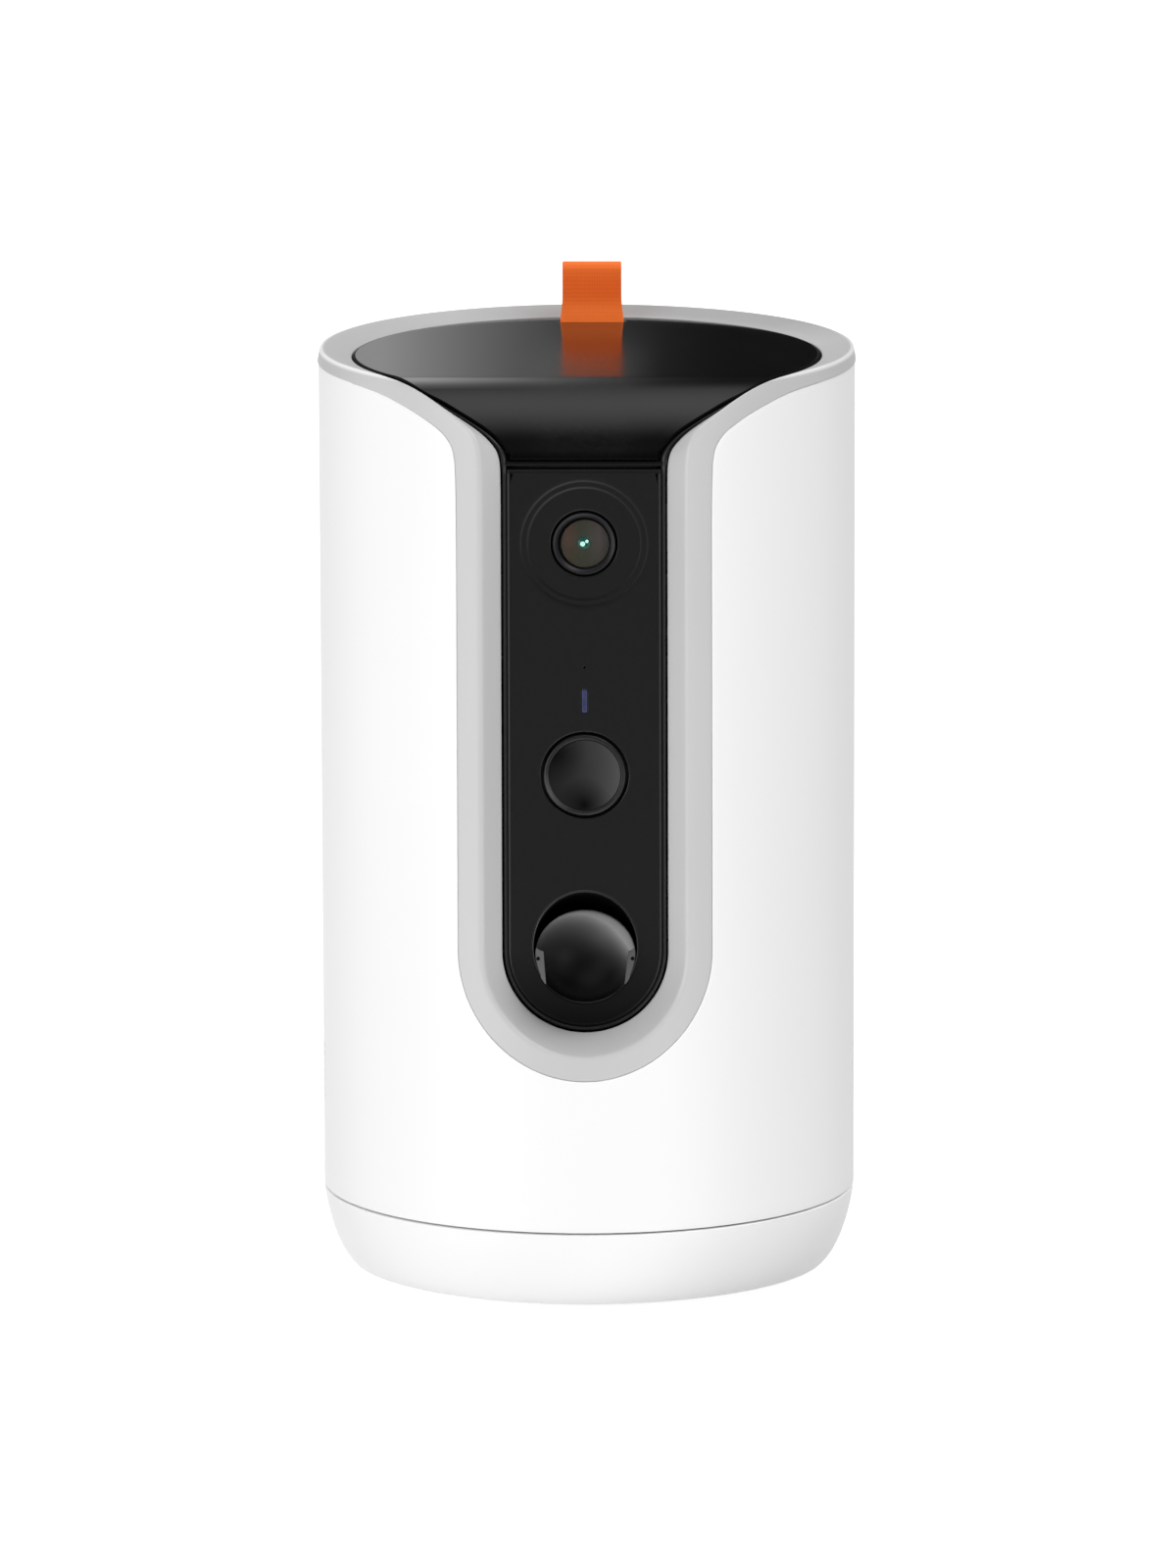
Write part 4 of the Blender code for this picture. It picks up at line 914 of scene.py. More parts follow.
    # borders: the bottom edge, and the opening with the top edge
    open_edges = {}
    for fc in sheet:
        for a, b in zip(fc, fc[1:] + fc[:1]):
            open_edges[(a, b)] = open_edges.get((a, b), 0) + 1
    border = [(a, b) for (a, b) in open_edges if (b, a) not in open_edges]
    hole_edges = set()
    for ring in holes:
        for i in range(len(ring)):
            hole_edges.add((ring[i], ring[(i + 1) % len(ring)]))
            hole_edges.add((ring[(i + 1) % len(ring)], ring[i]))
    border = [e for e in border if e not in hole_edges]
    follow = {a: b for a, b in border}
    made = set()
    for start in list(follow):
        if start in made:
            continue
        loop, at = [], start
        while at not in made:
            made.add(at)
            loop.append(at)
            at = follow[at]
        z_mean = np.mean([points[v][1] for v in loop])
        bottom = z_mean < SHELL_LOW + 1.0
        goal = []
        for v in loop:
            deg, z = points[v]
            if bottom:
                goal.append((deg, SHELL_LOW))
                continue
            if z >= top_z - 1e-6 and abs(deg) > inner_line[-1][0] - 1e-6:
                goal.append((deg, SHELL_TOP))
                continue
            k = min(range(len(picks)), key=lambda i: abs(inner_line[i][0] - abs(deg)) + abs(inner_line[i][1] - z))
            te = true_edge[picks[k]]
            goal.append((math.copysign(math.degrees(te[0] / 64.5), deg) if abs(deg) > 1e-9 else 0.0, te[1]))
        rings = [loop]
        for a in np.linspace(0, math.pi / 2, 5)[1:]:
            ids = []
            for v, (gd, gz) in zip(loop, goal):
                deg, z = points[v]
                t = math.sin(a)
                d1, z1 = deg + (gd - deg) * t, z + (gz - z) * t
                ids.append(len(verts))
                verts.append(lay(d1, z1, shell_radius(z1) - f * (1 - math.cos(a))))
            rings.append(ids)
        ids = []
        for gd, gz in goal:
            ids.append(len(verts))
            verts.append(lay(gd, gz, SHELL_IN))
        rings.append(ids)
        rings.append([count + v for v in loop])
        n = len(loop)
        for one, two in zip(rings, rings[1:]):
            faces += [[one[(i + 1) % n], one[i], two[i], two[(i + 1) % n]] for i in range(n)]
    return piece("shell", verts, faces, WHITE, HOUSING, replaces=("outer_shell",), slot="white_plastic", recalc=False)


# ---------------------------------------------------------------- base cup with the inlet and the reset hole
def cup_radius(z):
    t = min(max(z / 20.35, 0.0), 1.0)
    return 53.1 + 11.2 * (1 - (1 - t) ** 1.336) ** (1 / 2.37)


def cut(obj, verts, faces, name):
    """Cuts a closed shape out of a piece for good."""
    mesh = bpy.data.meshes.new(name)
    mesh.from_pydata([tuple(float(c) * MM for c in v) for v in verts], [], faces)
    bm = bmesh.new()
    bm.from_mesh(mesh)
    bmesh.ops.recalc_face_normals(bm, faces=bm.faces[:])
    bm.to_mesh(mesh)
    bm.free()
    tool = bpy.data.objects.new(name, mesh)
    scene.collection.objects.link(tool)
    step = obj.modifiers.new("cut", "BOOLEAN")
    step.operation, step.solver, step.object = "DIFFERENCE", "EXACT", tool
    bpy.context.view_layer.update()
    graph = bpy.context.evaluated_depsgraph_get()
    done = bpy.data.meshes.new_from_object(obj.evaluated_get(graph), preserve_all_data_layers=True, depsgraph=graph)
    obj.modifiers.remove(step)
    obj.data = done
    done.shade_smooth()
    done.set_sharp_from_angle(angle=math.radians(34))
    bpy.data.objects.remove(tool)


def extruded(loop, low, high, place):
    n = len(loop)
    verts = [place(p, low) for p in loop] + [place(p, high) for p in loop]
    return verts, [list(range(n)), list(range(n, 2 * n))[::-1]] + ring_faces(0, n, n)


def round_box(hw, hh, r, count=8, cx=0.0, cy=0.0):
    out = []
    for qx, qy, a in ((1, 1, 0), (-1, 1, 90), (-1, -1, 180), (1, -1, 270)):
        for t in np.linspace(0, 90, count):
            ang = math.radians(a + t)
            out.append((cx + qx * (hw - r) + r * math.cos(ang), cy + qy * (hh - r) + r * math.sin(ang)))
    return np.array(out)


def make_base():
    top, low = 19.98, 0.8
    heights = [low + (top - 0.3 - low) * k**1.7 for k in np.linspace(1, 0, 44)]
    outer = [(cup_radius(z), z) for z in heights[:-1]]
    foot = [(53.9, 1.25), (53.2, 0.88), (52.4, low)]
    lip = [(cup_radius(top) - 0.32, top), (cup_radius(top) - 0.12, top - 0.06), (cup_radius(top) - 0.02, top - 0.2)]
    under = [(50.2, low), (50.2, 2.3), (43.6, 2.3), (43.6, low), (40.2, low), (40.2, 3.0), (35.0, 3.0), (35.0, 5.0), (50.0, 5.0)]
    inner = [(min(cup_radius(z), cup_radius(z + 2.0)) - 2.4, z) for z in (5.2, 6.5, 8.5, 11.0, 15.0)] + [(61.9, top)]
    cup = lathe("cup", lip + [p for p in outer if p[1] > 1.5] + foot + under + inner, WHITE, HOUSING, seg=240,
                replaces=("base_cup",), slot="white_plastic")
    cut(cup, *extruded(round_box(5.2, 2.15, 2.1), 50.0, 80.0, lambda p, h: (p[0], h, 12.1 + p[1])), "inlet_cut")
    cut(cup, *extruded(round_loop(2.0, 32), 50.0, 80.0, lambda p, h: (14 + p[0], h, 12.0 + p[1])), "reset_cut")
    screws = [math.radians(a) for a in (45, 135, 225, 315)]
    # cover plate under the base, with a rounded rim and sunk screw holes
    loops = [(round_loop(39.8, 160), fillet_rows(0.4, 1.9), False)]
    for a in screws:
        loops.append((round_loop(1.6, 28, 37.4 * math.cos(a), 37.4 * math.sin(a))[::-1], [(0.9, 0.0), (0.45, 0.22), (0.0, 0.6), (0.0, 1.9)], True))
    verts, faces = plate(loops, lambda p, d, k: [(x, y, 0.8 + d) for x, y in p], 6.0)
    piece("bottom_plate", verts, faces, DARK, HOUSING, replaces=("base_cover",), slot="dark_plastic")
    lathe("foot", rounded([(49.9, 0), (49.9, 2.0), (43.9, 2.0), (43.9, 0)], [0.5, 0.1, 0.1, 0.5], 5), RUBBER, HOUSING,
          seg=160, replaces=("foot_ring",), slot="rubber")
    for k, a in enumerate(screws):
        at = (37.4 * math.cos(a), 37.4 * math.sin(a), 0)
        head = [(0, 0.25), (1.55, 0.25), (1.95, 0.36), (2.1, 0.55), (1.45, 0.79), (1.3, 0.82), (1.3, 6.0), (0, 6.6)]
        screw = lathe(f"bottom_screw_{k + 1}", head, STEEL, HOUSING, seg=40, centre=at,
                      replaces=(f"base_screw_{k + 1}",), slot="steel")
        arm, thin = 1.1, 0.26
        cross = [(arm, -thin), (arm, thin), (thin, thin), (thin, arm), (-thin, arm), (-thin, thin), (-arm, thin), (-arm, -thin),
                 (-thin, -thin), (-thin, -arm), (thin, -arm), (thin, -thin)]
        turn = 0.4 + k * 1.3
        spun = [(x * math.cos(turn) - y * math.sin(turn), x * math.sin(turn) + y * math.cos(turn)) for x, y in cross]
        cut(screw, *extruded(spun, -0.5, 0.5, lambda p, h: (at[0] + p[0], at[1] + p[1], h)), f"cross_{k}")
    # inlet shell and reset pin
    verts, faces = [], []
    rows = []
    for (hw, hh, r), y in (((4.5, 1.7, 1.6), 38.0), ((4.5, 1.7, 1.6), 60.25), ((4.42, 1.62, 1.5), 60.4), ((4.15, 1.35, 1.3), 60.4),
                           ((4.05, 1.28, 1.25), 60.2), ((4.05, 1.28, 1.25), 53.2)):
        rows.append(len(verts))
        verts += [(x, y, 12.1 + z) for x, z in round_box(hw, hh, r)]
    n = 32
    for a, b in zip(rows, rows[1:]):
        faces += ring_faces(a, b, n)
    faces += [list(range(n)), list(range(rows[-1], rows[-1] + n))]
    piece("inlet_shell", verts, faces, STEEL, HOUSING, replaces=("power_inlet",), slot="steel")
    tongue, faces = extruded(round_box(3.2, 0.38, 0.2), 53.4, 59.2, lambda p, h: (p[0], h, 12.1 + p[1]))
    piece("inlet_tongue", tongue, faces, CHIP, HOUSING, slot="chip")
    pin = rounded([(0, 61.05), (1.7, 60.85), (1.7, 56.0), (2.9, 56.0), (2.9, 55.0), (1.0, 55.0), (1.0, 50.5), (0, 50.5)],
                  [0, 0.35, 0.1, 0.2, 0.2, 0.1, 0.1, 0], 4)
    lathe("reset_pin", pin[::-1], DARK, RESET, seg=48, centre=(14, 0, 12), axis=(0, 1, 0), replaces=("reset_button",), slot="dark_plastic")


# ---------------------------------------------------------------- black front: border, panel, lens, light, button
def border_width(x):
    """Distance from the collar to the lid's edge, apart from the gap: it closes towards the rim."""
    return 1.35 * (1 - min(max((x - 35.5) / 10.0, 0.0), 0.9))


def inner_line():
    """The collar's inner edge up to where the black border ends, with the direction into the opening."""
    out = []
    keep = [k for k in range(RIM_START + 1) if PATH[k, 4] < 45.5 and PATH[k, 7] < 0.95]
    for k in keep:
        p, w = PATH[k, 4:7], PATH[k, 7]
        if k == 0:
            inward = np.array([0.0, 0, 1.0])
        elif p[2] > 202.0 and k > 0:
            a, b = PATH[k - 1, 4:7], PATH[k + 1, 4:7]
            t = np.array([b[0] - a[0], b[2] - a[2]])
            t /= np.linalg.norm(t)
            n = np.array([-t[1], 0, t[0]])
            blend = min(max((p[2] - 202.0) / 6.0, 0.0), 1.0)
            inward = n * (1 - blend) + np.array([-1.0, 0, 0]) * blend
            inward /= np.linalg.norm(inward)
        else:
            a, b = PATH[k - 1, 4:7], PATH[k + 1, 4:7]
            t = np.array([b[0] - a[0], b[2] - a[2]])
            t /= np.linalg.norm(t)
            inward = np.array([-t[1], 0, t[0]])
        out.append((p, w, inward))
    return out


def make_border():
    """Black border: a plain groove beside the panel, a rounded bead where it climbs along the lid."""
    groove = ((0.06, 2.2), (0.06, 0.6), (0.25, 0.95), (0.4, 1.0), (0.6, 1.0), (0.75, 1.0), (0.95, 1.05), (0.95, 2.2))
    bead = ((0.06, 2.2), (0.06, 0.55), (0.3, 0.6), (0.5, 0.2), (0.85, 0.02), (1.2, 0.2), (1.55, 0.9), (1.55, 2.2))
    rows = []
    for p, w, inward in inner_line():
        away = np.array([0, 1.0 - w, -w])
        away /= np.linalg.norm(away)
        blend = min(max((p[2] - 203.5) / 4.0, 0.0), 1.0)
        shrink = 1 - 0.86 * min(max((p[0] - 30.0) / 13.0, 0.0), 1.0)
        section = []
        for (a, b), (c, d) in zip(groove, bead):
            i, depth = a * (1 - blend) + c * blend, b * (1 - blend) + d * blend
            i = 0.06 + (i - 0.06) * shrink
            section.append(p + inward * i + away * depth + np.array([0, 0, 0.3 * w]))
        rows.append(rounded(section, [0, 0.05, 0.1, 0.16, 0.3, 0.2, 0.1, 0], 3))
    rows = [mirrored(r) for r in rows[:0:-1]] + rows
    width, count = len(rows[0]), len(rows)
    verts = [p for r in rows for p in r]
    faces = [list(range(width)), list(range((count - 1) * width, count * width))[::-1]]
    for i in range(count - 1):
        for k in range(width):
            m = (k + 1) % width
            faces.append([i * width + k, i * width + m, (i + 1) * width + m, (i + 1) * width + k])
    piece("front_border", verts, faces, BORDER, HOUSING, replaces=("panel_frame",), slot="black_plastic")
    bar = rounded([(FACE_Y + 0.25, BAR_LOW), (FACE_Y + 0.25, BAR_TOP), (FACE_Y + 2.1, BAR_TOP), (FACE_Y + 2.1, BAR_LOW)], [0.4, 0.4, 0.1, 0.1], 5)
    verts, faces = extruded(bar, -18.8, 18.8, lambda p, h: (h, p[0], p[1]))
    piece("cross_bar", verts, faces, BAR, HOUSING, slot="black_plastic")


def make_panel():
    half, low, top = 18.7, U_Z - U_DROP, PANEL_TOP
    bottom = arc(half, 73, math.pi, 2 * math.pi, 0.0, low)
    sides = [(half, z) for z in np.linspace(low, top - 0.5, 40)[1:]]
    corner = [(half - 0.5 + 0.5 * math.cos(a), top - 0.5 + 0.5 * math.sin(a)) for a in np.linspace(0, math.pi / 2, 6)[1:]]
    right = sides + corner
    line = [(x, top) for x in np.linspace(half - 0.5, -half + 0.5, 30)[1:-1]]
    left = [(-x, z) for x, z in right[::-1]]
    outline = np.array([tuple(p) for p in bottom] + right + line + left)
    lens_rows = [(8.2, 0.0), (7.5, 0.0), (7.3, 0.015), (7.0, 0.085), (6.85, 0.1), (6.7, 0.1), (6.05, 0.1), (5.9, 0.1), (5.7, 0.115), (5.4, 0.185), (5.25, 0.2), (5.1, 0.2), (0.5, 0.2)]
    lens_rows += [(0.22 * (1 - math.sin(a)), 0.2 + 0.22 * (1 - math.cos(a))) for a in np.linspace(0, math.pi / 2, 5)] + [(0.0, 2.5)]
    drop = math.tan(TUBE_TILT)
    mouth = np.array([(TUBE_R * math.cos(a), 88.45 + 13.5 * math.sin(a)) for a in np.linspace(0, 2 * math.pi, 145)[:-1]])
    loops = [
        (outline, fillet_rows(1.0, 2.5, 9), False),
        (round_loop(8.0, 128, 0, LENS_Z), lens_rows, True),
        (round_loop(0.32, 20, 0, MIC_Z), fillet_rows(0.1, 2.5, 3), True),
        (round_box(0.75, 2.95, 0.5, 5, 0, LED_Z), fillet_rows(0.1, 2.5, 3), True),
        (round_loop(10.5, 128, 0, BUTTON_Z), fillet_rows(0.25, 2.5, 4), True),
        (mouth, fillet_rows(0.45, 2.5, 6), True),
    ]

    def place(p, depth, number):
        fall = depth * drop if number == 5 else 0.0
        return [(x, PANEL_Y + depth, z - fall) for x, z in p]

    verts, faces = plate(loops, place, 2.4)
    return piece("panel", verts, faces, PANEL, HOUSING, replaces=("front_panel",), slot="black_plastic")


def make_camera_eye():
    axis, centre = (0, 1, 0), (0, 0, LENS_Z)
    barrel = rounded(
        [(7.45, -54.75), (7.45, -46.0), (5.2, -46.0), (5.2, -52.6), (6.2, -53.0), (6.2, -53.95), (6.45, -54.2), (6.9, -54.55)],
        [0.3, 0, 0, 0, 0.1, 0.25, 0.4, 0.3], 5)
    lathe("barrel", barrel, BARREL, HOUSING, seg=120, centre=centre, axis=axis, replaces=("lens_barrel",), slot="black_plastic")
    cap = math.radians(55)
    bulge = [(6.12 * math.sin(a) / math.sin(cap), (math.cos(a) - math.cos(cap)) / (1 - math.cos(cap))) for a in np.linspace(cap, 0, 18)]
    bulge[-1] = (0, 1.0)
    dome = [(r, -53.78 - 0.7 * h) for r, h in bulge] + [(r, -53.60 - 0.66 * h) for r, h in bulge[::-1]]
    lathe("front_glass", dome, clear_material(), HOUSING, seg=96, centre=centre, axis=axis, replaces=("lens_glass",), slot="lens_glass")
    cone = [(0, -53.46), (1.6, -53.45), (3.2, -53.43), (4.6, -53.40), (6.12, -53.36), (6.12, -52.95), (0, -52.95)]
    lathe("lens_element", cone, lens_inner_material(), HOUSING, seg=96, centre=centre, axis=axis, slot="lens_glass")
    # dark ring set off the axis: a painted shadow, which shows as a crescent of shade at the upper left of the lens
    stop = []
    for r, x, z, y in ((6.16, -0.02, 0.02, -53.46), (5.80, 0.22, -0.22, -53.50), (5.78, 0.22, -0.22, -53.36), (6.16, -0.02, 0.02, -53.3)):
        stop += [(x + r * math.cos(a), y, LENS_Z + z + r * math.sin(a)) for a in np.linspace(0, 2 * math.pi, 97)[:-1]]
    faces = []
    for k in range(4):
        faces += ring_faces(96 * k, 96 * ((k + 1) % 4), 96)
    piece("lens_shade_crescent", stop, faces, TUBE, HOUSING, slot="black_plastic")
    # painted reflection and painted highlights: the iris glows teal, and two glowing beads stand for the lens's glints
    iris = rounded([(0, -53.72), (1.1, -53.7), (1.5, -53.5), (1.55, -53.3), (0, -53.3)], [0, 0.3, 0.3, 0, 0], 4)
    lathe("lens_iris", iris, glint_material("iris_teal_glow", (0.012, 0.10, 0.085), 0.35), HOUSING, seg=64, centre=centre, axis=axis, slot="lens_glass")
    glint = glint_material("lens_glint", (0.55, 0.92, 0.86), 0.75)
    for name, x, z, r in (("lens_glint_left", -0.36, -0.2, 0.62), ("lens_glint_right", 0.66, 0.42, 0.42)):
        bead = [(r * math.sin(a), -53.68 - 0.22 * math.cos(a)) for a in np.linspace(0, math.pi, 12)]
        bead[0], bead[-1] = (0, bead[0][1]), (0, bead[-1][1])
        lathe(name, bead, glint, HOUSING, seg=32, centre=(x, 0, LENS_Z + z), axis=axis, slot="lens_glass")


def make_light():
    pipe = round_box(0.65, 2.85, 0.45, 6, 0, LED_Z)
    verts, faces = plate([(pipe, fillet_rows(0.2, 9.6, 4), False)], lambda p, d, k: [(x, -54.45 + d, z) for x, z in p], 3.0)
    piece("light_guide", verts, faces, LED, HOUSING, replaces=("led_light_pipe",), slot="light_pipe")


def make_button():
    sphere = 20.5
    depth = lambda r: math.sqrt(sphere**2 - r * r) - math.sqrt(sphere**2 - 8.57**2)
    dish = [(8.5 * i / 20, -54.62 + depth(8.5 * i / 20)) for i in range(21)]
    lathe("button_dish", dish + [(8.52, -54.5), (8.52, -52.0), (0, -52.0)], KEY, BUTTON, seg=144, centre=(0, 0, BUTTON_Z),
          axis=(0, 1, 0), slot="black_plastic")
    ring = rounded([(8.55, -54.5), (8.75, -54.86), (9.25, -54.95), (9.78, -54.75), (9.82, -54.2), (9.82, -51.5)], [0, 0.25, 0.5, 0.4, 0.1, 0], 5, closed=False)
    back = [(11.4, -51.5), (11.4, -50.4), (3.0, -50.4), (3.0, -46.4), (0, -46.4)]
    lathe("button_cap", [(0, -51.95), (8.55, -51.95)] + ring + back, BEZEL, BUTTON, seg=144, centre=(0, 0, BUTTON_Z),
          axis=(0, 1, 0), replaces=("call_button",), slot="black_plastic")


# ---------------------------------------------------------------- treat outlet
OUT = Vector((0, -math.cos(TUBE_TILT), math.sin(TUBE_TILT)))    # out of the tube
UP = Vector((0, math.sin(TUBE_TILT), math.cos(TUBE_TILT)))
FLAP_AT, FLAP_R = Vector((0, -52.3, 87.3)), 12.0


def make_outlet():
    inward = -OUT
    mouth = Vector((0, PANEL_Y, TUBE_Z))
    seg = 128
    verts, rows = [], []
    for r, start in ((TUBE_R, -51.7), (TUBE_R + 1.7, -51.7)):
        rows.append(len(verts))
        for i in range(seg):
            a = 2 * math.pi * i / seg
            p = mouth + Vector((1, 0, 0)) * (r * math.cos(a)) + UP * (r * math.sin(a))
            t = (start - p.y) / inward.y
            verts.append(tuple(p + inward * t))
    for r in (TUBE_R + 1.7, TUBE_R):
        rows.append(len(verts))
        for i in range(seg):
            a = 2 * math.pi * i / seg
            p = mouth + Vector((1, 0, 0)) * (r * math.cos(a)) + UP * (r * math.sin(a))
            t = (-22.2 - p.y) / inward.y
            verts.append(tuple(p + inward * t))
    faces = ring_faces(rows[0], rows[1], seg) + ring_faces(rows[1], rows[2], seg) + ring_faces(rows[2], rows[3], seg) + ring_faces(rows[3], rows[0], seg)
    piece("treat_tube", verts, faces, TUBE, HOUSING, replaces=("outlet_tube",), slot="dark_plastic")
    verts, count = [], 160
    for i in range(count):                       # fine lip round the mouth
        a = 2 * math.pi * i / count
        out = Vector((math.cos(a), 0, math.sin(a)))
        for k in range(8):
            t = 2 * math.pi * k / 8
            p = Vector((TUBE_R * math.cos(a), PANEL_Y + 0.25, 88.45 + 13.5 * math.sin(a))) + out * (0.02 + 0.17 * math.cos(t)) + Vector((0, 0.17 * math.sin(t), 0))
            verts.append(tuple(p))
    faces = [[i * 8 + k, i * 8 + (k + 1) % 8, (i + 1) % count * 8 + (k + 1) % 8, (i + 1) % count * 8 + k] for i in range(count) for k in range(8)]
    piece("outlet_lip", verts, faces, LIP, HOUSING, slot="black_plastic")


def make_flap():
    """Ball-shaped flap: a spherical front, cut in at both sides below its pivots, where flat cheeks carry the pins."""
    seg, rings = 160, 48
    span = math.radians(100)
    ball_r, centre = 11.5, Vector((0, FLAP_AT.y, FLAP_AT.z - 1.0))
    inner, rise, low = ball_r - 1.3, 1.9, -6.9
    wide, tall = 12.05 / ball_r, 10.6 / ball_r      # a little wider than deep, and flatter above
    edge = lambda z: base - (rise - z) * slant      # where the ball is cut in
    profile = [(ball_r * math.sin(span * i / rings), -ball_r * math.cos(span * i / rings)) for i in range(rings + 1)]
    profile += [((ball_r - 0.35) * math.sin(span + 0.02), -(ball_r - 0.35) * math.cos(span + 0.02)),
                ((inner + 0.35) * math.sin(span + 0.02), -(inner + 0.35) * math.cos(span + 0.02))]
    profile += [(inner * math.sin(span * i / rings), -inner * math.cos(span * i / rings)) for i in range(rings, -1, -1)]
    profile[0], profile[-1] = (0, -ball_r), (0, -inner)
    verts, faces = turned(profile, seg, tuple(centre), tuple(-OUT))
    verts = [(v[0] * wide, v[1], centre.z + (v[2] - centre.z) * (tall if v[2] > centre.z else 1.0)) for v in verts]
    ball = piece("flap", verts, faces, DOME, FLAP, replaces=("outlet_flap",), slot="black_plastic")
    for s, base, slant in ((-1, 9.95, 0.07), (1, 10.35, 0.12)):
        box = [(s * (16.0 if far else edge(z)), y, centre.z + z) for far in (0, 1) for y in (-70.0, -53.9) for z in (-26.0, rise)]
        cut(ball, box, [[0, 1, 3, 2], [4, 6, 7, 5], [0, 4, 5, 1], [2, 3, 7, 6], [0, 2, 6, 4], [1, 5, 7, 3]], "cheek_cut")
        # cheek plate: from the straight side to the ball's own outline
        reach = ball_r * wide - 0.05
        curve = [(reach * math.sqrt(1 - (z / (ball_r * (tall if z > 0 else 1.0)))**2), z) for z in np.linspace(low, rise - 0.05, 30)]
        outline = [(edge(rise) + 0.05, rise - 0.05)] + [(min(edge(low) + 0.05, curve[0][0] - 0.02), low)] + curve[1:]
        dense = []
        for a, b in zip(outline, outline[1:] + outline[:1]):
            steps = max(int(math.dist(a, b) / 0.4), 1)
            dense += [(a[0] + (b[0] - a[0]) * t / steps, a[1] + (b[1] - a[1]) * t / steps) for t in range(steps)]
        dense = np.array(dense)

        def place(p, depth, number, s=s):
            return [(s * x, -54.6 + 0.3 * (x - 10.0) + depth, centre.z + z) for x, z in p]

        verts, faces = plate([(dense, [(0.05, 0.0), (0.0, 0.05), (0.0, 1.0)], False)], place, 0.8)
        piece("flap_cheek_left" if s < 0 else "flap_cheek_right", verts, faces, CHEEK, FLAP, slot="black_plastic")
        pin = rounded([(0, -54.5), (0.42, -54.5), (0.42, -53.2), (0, -53.2)], [0, 0.1, 0, 0], 3)
        lathe("flap_pin_left" if s < 0 else "flap_pin_right", pin, TUBE, FLAP, seg=24, centre=(11.35 * s, 0, centre.z - 0.7), axis=(0, 1, 0), slot="black_plastic")


# ---------------------------------------------------------------- lid
def nose_point(s):
    """Place and outward normal on the lid's section for a length s from the flat's front edge; negative s is the flat top."""
    a, b = NOSE_Y0 - NOSE_END_Y, LID_TOP - NOSE_LOW
    if s <= 0:
        return NOSE_Y0 - s, LID_TOP, 0.0, 1.0
    t = float(np.interp(s, NOSE_S, NOSE_T))
    y, z = NOSE_Y0 - a * math.sin(t), LID_TOP - b * (1 - math.cos(t))
    n = np.array([-math.sin(t) / a, math.cos(t) / b])
    n /= np.linalg.norm(n)
    return y, z, n[0], n[1]


def nose_table():
    a, b = NOSE_Y0 - NOSE_END_Y, LID_TOP - NOSE_LOW
    t = np.linspace(0, math.pi / 2, 400)
    y, z = NOSE_Y0 - a * np.sin(t), LID_TOP - b * (1 - np.cos(t))
    return np.concatenate([[0], np.cumsum(np.hypot(np.diff(y), np.diff(z)))]), t


NOSE_S, NOSE_T = nose_table()


def lid_outline():
    """The lid's outline unrolled: x against the length along its section, counted from the flat's front edge forward."""
    plan = [(p[0] - (GAP + border_width(p[0]) + 0.35), p[1], p[2]) for p in PATH[:, 4:7] if p[2] > 203.5 and p[0] < 46.9 and p[1] < 0]
    plan = np.array(plan)
    order_y, half_y = plan[:, 1], plan[:, 0]
    order_z, half_z = plan[:, 2], plan[:, 0]
    end = NOSE_S[-1]
    right = []
    for s in np.linspace(end, 0.4, 70):
        y, z, ny, nz = nose_point(s)
        x_plan = float(np.interp(y, order_y, half_y))
        x_cheek = float(np.interp(z, order_z, half_z))
        x = min(x_plan, x_cheek) if y < -44 else x_plan
        right.append((x, s))
    last_y = nose_point(right[-1][1])[0]
    for y in np.linspace(last_y + 0.6, float(order_y[-1]), 10):
        right.append((float(np.interp(y, order_y, half_y)), NOSE_Y0 - y))
    start = math.atan2(-(NOSE_Y0 - right[-1][1]), right[-1][0])
    y_last = NOSE_Y0 - right[-1][1]
    ang = math.atan2(y_last, right[-1][0]) + 0.02
    for a in np.linspace(ang, math.pi / 2, 90):
        right.append((LID_R * math.cos(a), NOSE_Y0 - LID_R * math.sin(a)))
    right = np.array(right)
    right[-1, 0] = 0.0
    for _ in range(6):
        mean = right.copy()
        mean[1:-1] = 0.25 * right[:-2] + 0.5 * right[1:-1] + 0.25 * right[2:]
        right[6:-1] = mean[6:-1]
    left = [(-x, s) for x, s in right[::-1][1:]]
    front = [(x, end) for x in np.linspace(-right[0, 0], right[0, 0], 30)[1:-1]]
    return np.array([tuple(p) for p in right] + left + front)


def make_lid():
    outline = lid_outline()

    def place(p, depth, number):
        out = []
        for x, s in p:
            y, z, ny, nz = nose_point(s)
            out.append((x, y - ny * depth, z - nz * depth))
        return out

    slot_loop = round_box(8.0, 1.75, 0.5, 5, 0.6, NOSE_Y0 - 50.0)
    rows = fillet_rows(0.55, LID_THICK, 6, 0.3)
    loops = [(outline, rows, False), (slot_loop, fillet_rows(0.25, LID_THICK, 3), True)]
    verts, faces = plate(loops, place, 2.2)
    skin = piece("lid_skin", verts, faces, GLOSS, LID, replaces=("lid",), slot="black_gloss")
    skin.data.materials.append(LID_EDGE)
    for face in skin.data.polygons[len(outline):(len(rows) - 1) * len(outline)]:
        face.material_index = 1


